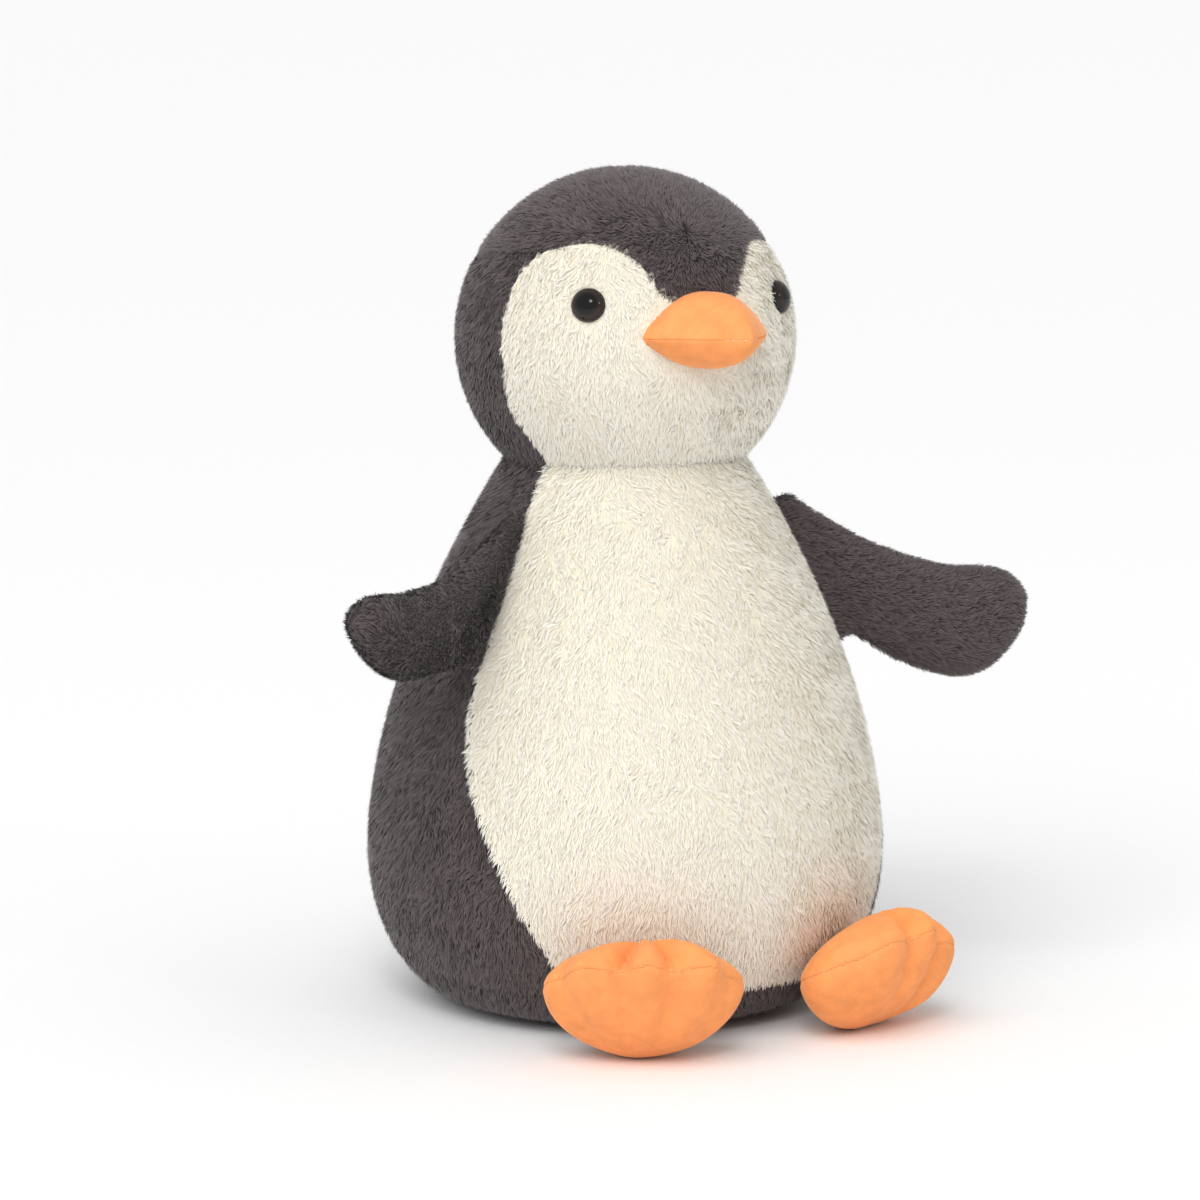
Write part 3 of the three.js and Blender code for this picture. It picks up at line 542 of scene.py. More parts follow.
def volume(mesh):
    """Signed volume, below 0 when the faces point inwards."""
    mesh.calc_loop_triangles()
    co = coordinates(mesh)
    index = np.zeros(len(mesh.loop_triangles) * 3, np.int32)
    mesh.loop_triangles.foreach_get("vertices", index)
    a, b, c = (co[index.reshape(-1, 3)[:, k]] for k in range(3))
    return float(np.einsum("ij,ij->i", a, np.cross(b, c)).sum()) / 6


def coordinates(mesh):
    """A mesh's points as an array."""
    co = np.zeros(len(mesh.vertices) * 3)
    mesh.vertices.foreach_get("co", co)
    return co.reshape(-1, 3)


def normals(mesh):
    """A mesh's point normals as an array."""
    found_normals = np.zeros(len(mesh.vertices) * 3)
    mesh.vertices.foreach_get("normal", found_normals)
    return found_normals.reshape(-1, 3)


def move_points(mesh, co):
    """Gives a mesh new points."""
    mesh.vertices.foreach_set("co", co.ravel())
    mesh.update()


def plain(made):
    """Turns an object's finished geometry into its own mesh, and drops its modifiers."""
    bpy.context.view_layer.update()
    graph = bpy.context.evaluated_depsgraph_get()
    mesh = bpy.data.meshes.new_from_object(
        made.evaluated_get(graph), preserve_all_data_layers=True, depsgraph=graph)
    old = made.data
    made.modifiers.clear()
    made.data = mesh
    mesh.name = made.name
    bpy.data.meshes.remove(old)
    return made


def evenly(made, step, subdivide=0):
    """Remeshes a closed body to even squares and drops any flat spots between them."""
    even = made.modifiers.new("Even cloth", "REMESH")
    even.mode = "VOXEL"
    even.voxel_size = step
    smooth = made.modifiers.new("Smooth cloth", "SMOOTH")
    smooth.factor = 0.5
    smooth.iterations = 3
    if subdivide:
        finer = made.modifiers.new("Finer cloth", "SUBSURF")
        finer.levels = finer.render_levels = subdivide
    return plain(made)


def pressed_out(made, held, most=None):
    """Lets the filling press a closed skin out while its seams hold it. held gives, for the
    points, how firmly each is held, from 0 to 1."""
    settings = bpy.context.scene.penguin_filling
    most = settings.swell if most is None else most
    rest = coordinates(made.data)
    group = made.vertex_groups.new(name="Seams")
    grip = held(rest)
    for i, weight in enumerate(grip):
        group.add([i], float(weight), "REPLACE")
    cloth = made.modifiers.new("Filling", "CLOTH")
    cloth.settings.use_pressure = True
    cloth.settings.uniform_pressure_force = settings.pressure
    cloth.settings.effector_weights.gravity = 0
    cloth.settings.quality = 4
    cloth.settings.tension_stiffness = 8
    cloth.settings.compression_stiffness = 5
    cloth.settings.bending_stiffness = 0.2
    cloth.settings.vertex_group_mass = "Seams"
    cloth.point_cache.frame_start = 1
    cloth.point_cache.frame_end = settings.frames
    scene = bpy.context.scene
    for step in range(1, settings.frames + 1):
        scene.frame_set(step)
    graph = bpy.context.evaluated_depsgraph_get()
    settled = coordinates(made.evaluated_get(graph).data)
    made.modifiers.remove(cloth)
    made.vertex_groups.clear()
    scene.frame_set(1)
    shift = settled - rest
    far = np.linalg.norm(shift, axis=1, keepdims=True)
    capped = shift * (most / (most + far))
    move_points(made.data, rest + capped)
    return made


def tangent(direction, up):
    """A direction laid along the surface, as unit vectors."""
    flat = direction - up * np.einsum("ij,ij->i", direction, up)[:, None]
    return flat / np.maximum(np.linalg.norm(flat, axis=1, keepdims=True), 1e-6)


def smooth_step(value, low, high):
    """0 below low, 1 above high, and a smooth rise between."""
    t = np.clip((value - low) / (high - low), 0, 1)
    return t * t * (3 - 2 * t)


def tuft_object():
    """One tuft of the pile: a narrow blade that bends over and ends in a point."""
    mesh = bpy.data.meshes.new("Tuft")
    points = [(-0.5, 0, 0), (0.5, 0, 0), (0.4, 0.09, 0.5), (-0.4, 0.09, 0.5), (0, 0, 1)]
    mesh.from_pydata(points, [], [(1, 0, 3, 2), (2, 3, 4)])
    mesh.update()
    across = {0: -0.5, 1: 0.5, 2: 0.5, 3: -0.5, 4: 0.0}
    uv = mesh.uv_layers.new(name=PILE_UV)
    for loop in mesh.loops:
        point = points[loop.vertex_index]
        # v runs from the root's painted shade to the tip's painted highlight.
        uv.data[loop.index].uv = (across[loop.vertex_index] * SHADE_WIDTH, point[2] * 0.94 + 0.04)
    for polygon in mesh.polygons:
        polygon.use_smooth = True
    return shown("Tuft", mesh)


def pile_panel(name, skin, inside, nap, reach, cloth, density, seed, length=None, lean=None):
    """One sewn panel with its pile: the part of a skin where inside is above 0."""
    settings = bpy.context.scene.penguin_pile
    keep = [f.vertices[:] for f in skin.polygons if max(inside[v] for v in f.vertices) > 0]
    used = sorted({v for face in keep for v in face})
    index = {v: i for i, v in enumerate(used)}
    co = coordinates(skin)
    mesh = bpy.data.meshes.new(name)
    mesh.from_pydata([tuple(co[v]) for v in used], [], [[index[v] for v in f] for f in keep])
    for key, kind, field, values in (
        ("inside", "FLOAT", "value", inside), ("reach", "FLOAT", "value", reach),
        ("nap", "FLOAT_VECTOR", "vector", nap),
    ):
        attribute = mesh.attributes.new(key, kind, "POINT")
        attribute.data.foreach_set(field, np.ascontiguousarray(values[used], np.float32).ravel())
    uv = mesh.uv_layers.new(name=PILE_UV)
    # The backing takes the strands' root colour: painted shade, as it lies in the shadow of the pile.
    corners = ((0.3, 0.0), (0.7, 0.0), (0.7, 0.03), (0.3, 0.03))
    for polygon in mesh.polygons:
        polygon.use_smooth = True
        for k, loop in enumerate(polygon.loop_indices):
            uv.data[loop].uv = corners[k % 4]
    made = shown(name, mesh)
    tree = bpy.data.node_groups.get("Pile") or pile_tree()
    tuft = bpy.data.objects.get("Tuft") or tuft_object()
    pile = made.modifiers.new("Pile", "NODES")
    pile.node_group = tree
    values = {
        "Tuft": tuft, "Density": density * 1.0,
        "Length": length or settings.length, "Width": settings.width,
        "Lean": lean or settings.lean, "Clump": settings.clump, "Seed": seed,
        "Floor": 0.4 * MM, "Cloth": cloth,
    }
    for item in tree.interface.items_tree:
        if item.in_out == "INPUT" and item.name in values:
            pile[item.identifier] = values[item.name]
    plain(made)
    for key in ("inside", "reach", "nap", "up", "shade"):
        attribute = made.data.attributes.get(key)
        if attribute:
            made.data.attributes.remove(attribute)
    if not made.data.polygons:
        raise RuntimeError(f"{name} has no faces")
    return made


def stuffed(nodes):
    """Hides the frame's panels that a padded piece stands for."""
    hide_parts(*nodes)


# ---- Torso ----


def torso_radius(z, inset=0.0):
    """Radius at a height, for the outer surface or one a distance inside it."""
    if z < GIRTH_HEIGHT:
        drop = (GIRTH_HEIGHT - z) / (GIRTH_HEIGHT - inset)
        curve = math.sqrt(max(0.0, 1 - drop * drop))
        return BASE_RADIUS + (GIRTH_RADIUS - BASE_RADIUS - inset) * curve
    rise = (z - GIRTH_HEIGHT) / (NECK_HEIGHT - GIRTH_HEIGHT)
    return GIRTH_RADIUS - inset - (GIRTH_RADIUS - NECK_RADIUS) * rise**SHOULDER_POWER


def around(radius, degrees, z):
    """A point at an angle from straight ahead, positive towards the toy's left."""
    angle = math.radians(degrees)
    return (radius * math.sin(angle), -radius * math.cos(angle), z)


def tummy_inside(co):
    """Distance inside the pale front panel's side seams, below 0 outside them."""
    x, y, z = co.T
    below = np.maximum(0, TUMMY_TAPER - z) / (TUMMY_TAPER - BASE_SEAM)
    edge = TUMMY_EDGE - (TUMMY_EDGE - TUMMY_EDGE_BOTTOM) * below**TUMMY_TAPER_POWER
    angle = np.degrees(np.arctan2(np.abs(x), -y))
    return np.radians(edge - angle) * np.hypot(x, y)


def wandering(co, amount, size, seed):
    """A smooth random distance for each point, so that sewn seams aren't ruler straight."""
    offset = Vector((seed, seed * 0.7, -seed))
    return np.array([amount * noise.noise(Vector(p) / size + offset) for p in co])


class PENGUIN_OT_torso(bpy.types.Operator):
    """Sew the torso's front, back and base panels over the filling"""

    bl_idname = "penguin.torso"
    bl_label = "Torso"

    def execute(self, context):
        pile = context.scene.penguin_pile
        filling = context.scene.penguin_filling
        inset = pile.rise + filling.swell * 0.6
        low, top = 2 * MM, NECK_HEIGHT + 12 * MM
        heights = [low + (top - low) * (i / 60) ** 1.3 for i in range(61)]
        rings = [
            [around(torso_radius(max(z, inset), inset), a * 3.75, z) for a in range(96)]
            for z in heights
        ]
        skin = evenly(shown("Torso skin", closed_mesh("Torso skin", rings)), filling.voxel)

        def held(co):
            seams = np.minimum(np.abs(tummy_inside(co)), np.abs(co[:, 2] - BASE_SEAM))
            seams = np.where(co[:, 1] > 0, np.minimum(seams, np.abs(co[:, 0])), seams)
            flat = 1 - smooth_step(co[:, 2], 6 * MM, 16 * MM)
            neck = smooth_step(co[:, 2], NECK_HEIGHT - 8 * MM, NECK_HEIGHT)
            return np.maximum(np.maximum(flat, neck), 1 - smooth_step(seams, 0, 7 * MM))

        pressed_out(skin, held)
        co, up = coordinates(skin.data), normals(skin.data)
        wander = wandering(co, 2.5 * MM, 38 * MM, 3)
        tummy = tummy_inside(co) + wander
        over_base = co[:, 2] - BASE_SEAM
        below_neck = NECK_HEIGHT + 6 * MM - co[:, 2]
        back = np.minimum(-tummy, over_base)
        down = tangent(np.tile((0.0, 0.0, -1.0), (len(co), 1)), up)
        seams = np.minimum(np.abs(tummy), np.abs(over_base))
        reach = 0.72 + 0.28 * smooth_step(seams, 0, 5 * MM)
        reach = reach * (0.35 + 0.65 * smooth_step(co[:, 2], 2 * MM, 14 * MM))
        away = down * 0.85
        self.sew("tummy", skin, np.minimum(np.minimum(tummy, over_base), below_neck),
                 away, reach, cream_pile(), TUMMY_DENSITY, 11, ["tummy_panel"], "cream_plush")
        for name, side in SIDES:
            half = np.minimum(np.minimum(back, side * co[:, 0]), below_neck)
            self.sew(f"back_{name}", skin, half, away, reach, charcoal_pile(), BACK_DENSITY,
                     21 + side, [f"back_panel_{name}"], "dark_plush")
        rim = np.minimum(-over_base, np.hypot(co[:, 0], co[:, 1]) - BASE_RADIUS * 0.8)
        self.sew("base", skin, rim, away, reach, charcoal_pile(), BASE_DENSITY, 31, [],
                 "dark_plush")
        self.backing(skin, -over_base)
        bpy.data.objects.remove(skin)
        return {"FINISHED"}

    def sew(self, name, skin, inside, nap, reach, cloth, density, seed, nodes, slot):
        """One panel that rides on the torso."""
        made = pile_panel(name, skin.data, inside, nap, reach, cloth, density, seed)
        stuffed(nodes)
        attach(made, "torso")

    def backing(self, skin, inside):
        """The base's cloth under its pile, which closes the torso below."""
        made = pile_panel("base_cloth", skin.data, inside, np.zeros((len(inside), 3)),
                          np.ones(len(inside)), charcoal_pile(), 0, 1)
        stuffed(["base_panel"])
        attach(made, "torso")


# ---- Head ----


def head_point(longitude, latitude, inset=0.0):
    """A point of the head in a direction from its centre, in degrees."""
    lon, lat = math.radians(longitude), math.radians(latitude)
    a, b, c = (half - inset for half in HEAD_HALF)
    return (
        a * math.cos(lat) * math.sin(lon),
        -b * math.cos(lat) * math.cos(lon),
        HEAD_CENTRE + c * math.sin(lat),
    )


def face_outline():
    """The face's closed outline in degrees of longitude and latitude."""
    half = []
    steps = 40
    for i in range(steps + 1):
        angle = math.radians(LOBE_START * (1 - i / steps))
        share = 2 / LOBE_POWER if math.cos(angle) > 0 else 1
        across = math.copysign(abs(math.cos(angle)) ** share, math.cos(angle))
        half.append(
            (LOBE[0] + LOBE_HALF[0] * across, LOBE[1] + LOBE_HALF[1] * math.sin(angle) ** share))
    half += [(LOBE[0] + LOBE_HALF[0], JOWL_LATITUDE), THROAT]
    return [(0, PEAK_LATITUDE), *half, *[(-x, y) for x, y in reversed(half)]]


def face_inside(co):
    """Distance inside the face's outline, below 0 outside it."""
    a, b, c = HEAD_HALF
    x, y, z = co[:, 0] / a, co[:, 1] / b, (co[:, 2] - HEAD_CENTRE) / c
    longitude = np.degrees(np.arctan2(x, -y))
    latitude = np.degrees(np.arctan2(z, np.hypot(x, y)))
    outline = np.array(face_outline())
    nearest = np.full(len(co), 1e9)
    within = np.zeros(len(co), bool)
    for (x0, y0), (x1, y1) in zip(outline, np.roll(outline, -1, axis=0)):
        dx, dy = x1 - x0, y1 - y0
        t = np.clip(((longitude - x0) * dx + (latitude - y0) * dy) / (dx * dx + dy * dy), 0, 1)
        away = np.hypot(longitude - x0 - t * dx, latitude - y0 - t * dy)
        nearest = np.minimum(nearest, away)
        crosses = (y0 > latitude) != (y1 > latitude)
        if dy:
            within ^= crosses & (longitude < x0 + (latitude - y0) * dx / dy)
    return np.where(within, nearest, -nearest) * math.radians(1) * HEAD_HALF[0]


def above_crown_seam(co):
    """Height over the tilted seam between the crown and the nape."""
    return co[:, 2] - CROWN_SEAM + CROWN_FALL * co[:, 1]


def eye_place(side):
    """Where an eye sits on the pressed-down pile, facing straight out of the head."""
    point = Vector(head_point(side * EYE[0], EYE[1]))
    out = Vector((
        point.x / HEAD_HALF[0] ** 2,
        point.y / HEAD_HALF[1] ** 2,
        (point.z - HEAD_CENTRE) / HEAD_HALF[2] ** 2,
    )).normalized()
    seat = point - out * EYE_RECESS
    return Matrix.Translation(seat) @ out.to_track_quat("Z", "Y").to_matrix().to_4x4()


class PENGUIN_OT_head(bpy.types.Operator):
    """Sew the face and the four panels of the hood over the head's filling"""

    bl_idname = "penguin.head"
    bl_label = "Head"

    def execute(self, context):
        pile = context.scene.penguin_pile
        filling = context.scene.penguin_filling
        inset = pile.rise + filling.swell * 0.6
        rings = [
            [head_point(a * 3.75, latitude, inset) for a in range(96)]
            for latitude in np.linspace(-58, 88, 56)
        ]
        skin = evenly(shown("Head skin", closed_mesh("Head skin", rings)), filling.voxel)

        def held(co):
            face = face_inside(co)
            hood = np.minimum(np.abs(co[:, 0]), np.abs(above_crown_seam(co)))
            seams = np.where(face > 0, face, np.minimum(-face, hood))
            neck = 1 - smooth_step(co[:, 2], NECK_HEIGHT, NECK_HEIGHT + 8 * MM)
            return np.maximum(neck, 1 - smooth_step(seams, 0, 6 * MM))

        pressed_out(skin, held)
        co, up = coordinates(skin.data), normals(skin.data)
        face = face_inside(co) + wandering(co, 1.5 * MM, 25 * MM, 5)
        above = above_crown_seam(co)
        over_neck = co[:, 2] - NECK_HEIGHT + 4 * MM
        peak = head_point(LOBE[0], LOBE[1] + LOBE_HALF[1])
        before = (np.abs(co[:, 0]) < peak[0]) & (co[:, 1] < peak[1])
        crown = np.where(before, 5 * MM, above)
        down = tangent(np.tile((0.0, 0.0, -1.0), (len(co), 1)), up)
        back = tangent(np.tile((0.0, 0.75, -0.65), (len(co), 1)), up)
        seams = np.where(face > 0, face, np.minimum(-face, np.minimum(np.abs(co[:, 0]), np.abs(above))))
        reach = 0.68 + 0.32 * smooth_step(seams, 0, 5 * MM)
        for _, side in SIDES:
            seat = np.array(eye_place(side).translation)
            away = np.linalg.norm(co - seat, axis=1)
            reach = reach * (0.3 + 0.7 * smooth_step(away, 8 * MM, 14 * MM))
        beak = np.hypot(co[:, 0] / 42, (co[:, 2] - BEAK_HEIGHT - 4 * MM) / 25) / MM
        front_only = np.where(co[:, 1] < 0, beak, 9)
        reach = reach * (0.45 + 0.55 * smooth_step(front_only, 0.8, 1.25))
        length = pile.length * 0.9
        self.sew("face", skin, np.minimum(face, over_neck), down * 0.8, reach, cream_pile(),
                 HEAD_DENSITY, 41, ["face_panel"], "cream_plush", length)
        for name, side in SIDES:
            half = np.minimum(np.minimum(-face, side * co[:, 0]), over_neck)
            self.sew(f"crown_{name}", skin, np.minimum(half, crown), back * 0.8, reach,
                     charcoal_pile(), HEAD_DENSITY, 51 + side, [f"crown_panel_{name}"],
                     "dark_plush", length)
            self.sew(f"nape_{name}", skin, np.minimum(half, -crown), down * 0.8, reach,
                     charcoal_pile(), HEAD_DENSITY, 61 + side, [f"nape_panel_{name}"],
                     "dark_plush", length)
        bpy.data.objects.remove(skin)
        return {"FINISHED"}

    def sew(self, name, skin, inside, nap, reach, cloth, density, seed, nodes, slot, length):
        """One panel of the head, cut from a skin that is held at the neck."""
        made = pile_panel(name, skin.data, inside, nap, reach, cloth, density, seed, length)
        stuffed(nodes)
        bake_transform(made)


class PENGUIN_OT_eyes(bpy.types.Operator):
    """Fit the two domed plastic eyes"""

    bl_idname = "penguin.eyes"
    bl_label = "Eyes"

    def execute(self, context):
        settings = context.scene.penguin_eyes
        steps = 24
        for name, side in SIDES:
            place = eye_place(side)
            profile = [(2.5 * MM, -9 * MM), (2.5 * MM, -0.6 * MM),
                       (settings.radius * 0.97, -0.6 * MM), (settings.radius, 0.2 * MM)]
            for i in range(1, steps):
                angle = math.radians(90 * i / steps)
                profile.append((settings.radius * math.cos(angle),
                                0.2 * MM + settings.dome * math.sin(angle)))
            rings = [
                [place @ Vector((r * math.cos(a), r * math.sin(a), z))
                 for a in np.linspace(0, 2 * math.pi, 48, endpoint=False)]
                for r, z in profile
            ]
            mesh = closed_mesh(f"eye_dome_{name}", rings)
            rim = mesh.attributes.new("rim", "FLOAT", "POINT")
            local = [place.inverted() @ v.co for v in mesh.vertices]
            shares = [math.hypot(p.x, p.y) / settings.radius for p in local]
            rim.data.foreach_set("value", np.array(shares, np.float32))
            for polygon in mesh.polygons:
                polygon.use_smooth = True
            made = shown(f"eye_dome_{name}", mesh)
            mesh.materials.append(found("Polished acrylic eye", eye_material))
            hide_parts(f"eye_{name}")
            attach(made, "head")
        return {"FINISHED"}


# ---- Beak ----


def beak_point(u, v, inset=0.0):
    """A point of the beak: u from its root to its tip, v round it from its right corner."""
    length = BEAK_LENGTH - inset
    forward = -BEAK_ROOT + (BEAK_ROOT + length) * math.sin(math.radians(90 * u))
    ahead = max(0.0, forward) / length
    narrowing = max(0.0, 1 - ahead) ** 0.85
    lowering = max(0.0, 1 - ahead * ahead) ** 0.7
    turn = math.radians(360 * v)
    lobe = math.sin(turn)
    tall = (BEAK_RISE if lobe > 0 else BEAK_DROP) - inset
    return (
        (BEAK_HALF_WIDTH - 1.5 * inset) * narrowing * math.cos(turn),
        -forward,
        tall * lowering * lobe * abs(lobe) ** 0.7,
    )


class PENGUIN_OT_beak(bpy.types.Operator):
    """Sew the beak's upper and lower panels"""

    bl_idname = "penguin.beak"
    bl_label = "Beak"

    def execute(self, context):
        settings = context.scene.penguin_suedette
        level = (BEAK_HEIGHT - HEAD_CENTRE) / HEAD_HALF[2]
        front = -HEAD_HALF[1] * math.sqrt(1 - level * level) + 1.5 * MM
        place = Matrix.Translation((0, front, BEAK_HEIGHT)) @ Matrix.Rotation(
            math.radians(-BEAK_TILT), 4, "X")
        across, along = 72, 60
        for name, start in (("upper", 0.0), ("lower", 0.5)):
            outer, inner = [], []
            for i in range(along + 1):
                u = i / along * 0.995
                rows = [], []
                for j in range(across + 1):
                    v = start + 0.5 * j / across
                    point = Vector(beak_point(u, v))
                    seam = min(j, across - j) / across * 60 * MM * max(0.15, 1 - u)
                    pull = 2 * settings.pucker * math.exp(-seam / (1.8 * MM))
                    ripple = 0.45 * MM * noise.noise(point * 55 + Vector((start, 0, 4)))
                    gather = 0.25 * MM * math.exp(-seam / (5 * MM)) * math.sin(u * 95 + j * 0.13)
                    out = Vector((point.x * 0.6, -0.2 * max(0.0, -point.y), point.z * 1.6))
                    out = out.normalized() if out.length else Vector((0, -1, 0))
                    rows[0].append(place @ (point + out * (ripple + gather - pull)))
                    rows[1].append(place @ Vector(beak_point(u * 0.97, v, 1.6 * MM)))
                outer.append(rows[0])
                inner.append(rows[1])
            mesh = self.panel(f"beak_{name}_cloth", outer, inner)
            made = shown(f"beak_{name}_cloth", mesh)
            mesh.materials.append(found("Brushed orange suedette", suedette_material))
            stuffed([f"beak_{name}"])
            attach(made, "head")
        return {"FINISHED"}

    def panel(self, name, outer, inner):
        """A closed panel between an outer and an inner grid of points."""
        rows, columns = len(outer), len(outer[0])
        points = [tuple(p) for row in (*outer, *inner) for p in row]
        half = rows * columns
        faces = []
        for i in range(rows - 1):
            for j in range(columns - 1):
                a, b = i * columns + j, (i + 1) * columns + j
                faces.append((a, b, b + 1, a + 1))
                faces.append((half + a, half + a + 1, half + b + 1, half + b))
        rim = [(0, j) for j in range(columns)] + [(i, columns - 1) for i in range(1, rows)]
        rim += [(rows - 1, j) for j in range(columns - 2, -1, -1)]
        rim += [(i, 0) for i in range(rows - 2, 0, -1)]
        ring = [i * columns + j for i, j in rim]
        for a, b in zip(ring, ring[1:] + ring[:1]):
            faces.append((a, b, half + b, half + a))
        mesh = bpy.data.meshes.new(name)
        mesh.from_pydata(points, [], faces)
        if volume(mesh) < 0:
            mesh.flip_normals()
        mesh.update()
        for polygon in mesh.polygons:
            polygon.use_smooth = True
        return mesh


# ---- Wings ----


def spline(points, t):
    """A point of a smooth curve that passes evenly through points, t from 0 to 1."""
    spot = (len(points) - 1) * t
    k = min(int(spot), len(points) - 1)
    share = spot - k
    last = len(points) - 1
    p0, p1 = points[max(k - 1, 0)], points[k]
    p2, p3 = points[min(k + 1, last)], points[min(k + 2, last)]
    slope0, slope1 = (p2 - p0) * 0.5, (p3 - p1) * 0.5
    return ((p1 - p2) * 2 + slope0 + slope1) * share**3 + (
        (p2 - p1) * 3 - slope0 * 2 - slope1) * share**2 + slope0 * share + p1


def wing_seam(side):
    """Middle of a wing's seam, its direction up along the torso, and its length."""
    off = WING_BEAD + WING_CLEARANCE
    top, bottom = (
        Vector(around(torso_radius(z) + off, side * WING_ANGLE, z))
        for z in (WING_SEAM_TOP, WING_SEAM_BOTTOM))
    return (top + bottom) / 2, (top - bottom).normalized()


def wing_frame(name, side):
    """Frame of a wing: outward from its seam, up along it, and through its thickness."""
    middle, up = wing_seam(side)
    outward = Vector(around(1, side * WING_POSE[name][0], 0))
    outward = (outward - up * outward.dot(up)).normalized()
    thick = outward.cross(up)
    turn = Matrix((outward, up, thick)).transposed().to_4x4()
    return Matrix.Translation(middle) @ turn


def wing_rings(drop, inset):
    """Rings of a wing's skin from inside the torso to its tip."""
    seam = math.hypot(torso_radius(WING_SEAM_BOTTOM) - torso_radius(WING_SEAM_TOP),
                      WING_SEAM_TOP - WING_SEAM_BOTTOM)
    reach = WING_REACH
    upper = [Vector(p) for p in (
        (0, seam / 2), (reach * 0.28, drop * 0.03), (reach * 0.62, -drop * 0.46),
        (reach * 0.93, -drop * 0.72), (reach, -drop))]
    lower = [Vector(p) for p in (
        (0, -seam / 2), (reach * 0.26, -drop * 1.16), (reach * 0.55, -drop * 1.42),
        (reach * 0.86, -drop * 1.3), (reach, -drop))]
    rings = []
    buried = 15 * MM
    for u in [-1.0, -0.6, -0.3, *np.linspace(0, 1, 40)]:
        inner = max(u, 0.0) * (1 - inset / reach)
        top, bottom = spline(upper, inner), spline(lower, inner)
        middle, half = (top + bottom) / 2, (top - bottom) / 2
        close = math.sqrt(max(0.0, 1 - max(u, 0.0) ** 8))
        if inner < 0.5:
            swell = math.sin(math.radians(180 * inner))
            thick = WING_BEAD + (WING_HALF_THICKNESS - WING_BEAD) * swell
        else:
            thick = WING_HALF_THICKNESS * math.sqrt(max(0.0, 1 - (2 * inner - 1) ** 2))
        narrow = max(0.0, half.length - inset) / max(half.length, 1e-6) * close
        thick = max(0.0, thick - inset * 0.8) * close
        ring = []
        for a in np.linspace(0, 2 * math.pi, 64, endpoint=False):
            x = middle.x + half.x * narrow * math.cos(a) + min(u, 0.0) * buried
            y = middle.y + half.y * narrow * math.cos(a)
            ring.append((x, y, thick * math.sin(a)))
        rings.append(ring)
    return rings[:-1]


class PENGUIN_OT_wings(bpy.types.Operator):
    """Sew the two panels of each wing and stitch the wings on"""

    bl_idname = "penguin.wings"
    bl_label = "Wings"

    def execute(self, context):
        pile = context.scene.penguin_pile
        inset = 1.6 * MM
        for name, side in SIDES:
            matrix = wing_frame(name, side)
            rings = [[matrix @ Vector(p) for p in ring]
                     for ring in wing_rings(WING_POSE[name][1], inset)]
            skin = evenly(shown("Wing skin", closed_mesh("Wing skin", rings)), 4 * MM)
            back_to_wing = np.array(matrix.inverted())

            def local(co):
                return co @ back_to_wing[:3, :3].T + back_to_wing[:3, 3]

            def held(co):
                inner = local(co)
                root = 1 - smooth_step(inner[:, 0], 4 * MM, 18 * MM)
                return np.maximum(root, 1 - smooth_step(np.abs(inner[:, 2]), 0, 4 * MM))

            pressed_out(skin, held, 4 * MM)
            co, up = coordinates(skin.data), normals(skin.data)
            inner = local(co)
            towards = np.array(matrix.to_3x3() @ Vector((0.9, -0.45, 0)))
            nap = tangent(np.tile(towards, (len(co), 1)), up) * 0.8
            seams = np.abs(inner[:, 2])
            reach = 0.8 + 0.2 * smooth_step(seams, 0, 5 * MM)
            for face, facing in (("back", side), ("front", -side)):
                inside = inner[:, 2] * facing
                made = pile_panel(
                    f"wing_{face}_{name}", skin.data, inside, nap, reach, charcoal_pile(),
                    WING_DENSITY, 71 + side + 4 * facing, pile.length * 0.78)
                stands_for = [f"wing_{face}_panel_{name}"]
                if face == "back":
                    stands_for.append(f"wing_fill_{name}")
                stuffed(stands_for)
                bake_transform(made)
            bpy.data.objects.remove(skin)
        return {"FINISHED"}


# ---- Feet ----


def toe_share(angle):
    """1 on the middle line of each toe, 0 between two toes and beside the outer ones."""
    toe = np.abs(np.cos(np.radians(angle / TOE_PITCH * 180)))
    return np.where(np.abs(angle) > 1.5 * TOE_PITCH, 0, toe)


def foot_ellipse(angle):
    """Radius of a foot's outline without its toes, at an angle from straight ahead."""
    turn = np.radians(angle)
    return 1 / np.hypot(np.cos(turn) / (FOOT_LENGTH / 2), np.sin(turn) / FOOT_HALF_WIDTH)


def foot_seam_height(x, outward, droop, angle, share):
    """Height of a foot's seam, at a distance from the heel and one towards its outer edge."""
    ahead = np.maximum(0, x / FOOT_LENGTH)
    aside = np.maximum(0, outward / FOOT_HALF_WIDTH)
    arch = TOE_ARCH * toe_share(angle) * share**3
    return FOOT_SEAM + TOE_LIFT * ahead**TOE_LIFT_POWER - droop * aside * ahead + arch


def foot_place_of(co):
    """Angle from the toes, and share of the outline's radius, of points of a foot."""
    x, y = co[:, 0] - FOOT_LENGTH / 2, co[:, 1]
    angle = np.degrees(np.arctan2(y, x))
    return angle, np.hypot(x, y) / (foot_ellipse(angle) + TOE_REACH * toe_share(angle))


def foot_points(side, droop, share, upwards, inset):
    """A ring of a foot in its own frame: x from the heel to the toes, z up from the floor."""
    angle = np.arange(128) * 2.8125 - 180
    radius = (foot_ellipse(angle) - inset + TOE_REACH * toe_share(angle)) * share
    turn = np.radians(angle)
    x, y = FOOT_LENGTH / 2 + radius * np.cos(turn), radius * np.sin(turn)
    dome = (1 - share * share) ** 0.6
    seam = foot_seam_height(x, side * y, droop, angle, share)
    if upwards:
        return np.column_stack([x, y, seam + (FOOT_RISE - inset) * dome])
    return np.column_stack([x, y, np.maximum(0.4 * MM, seam - (FOOT_DEPTH - inset) * dome)])


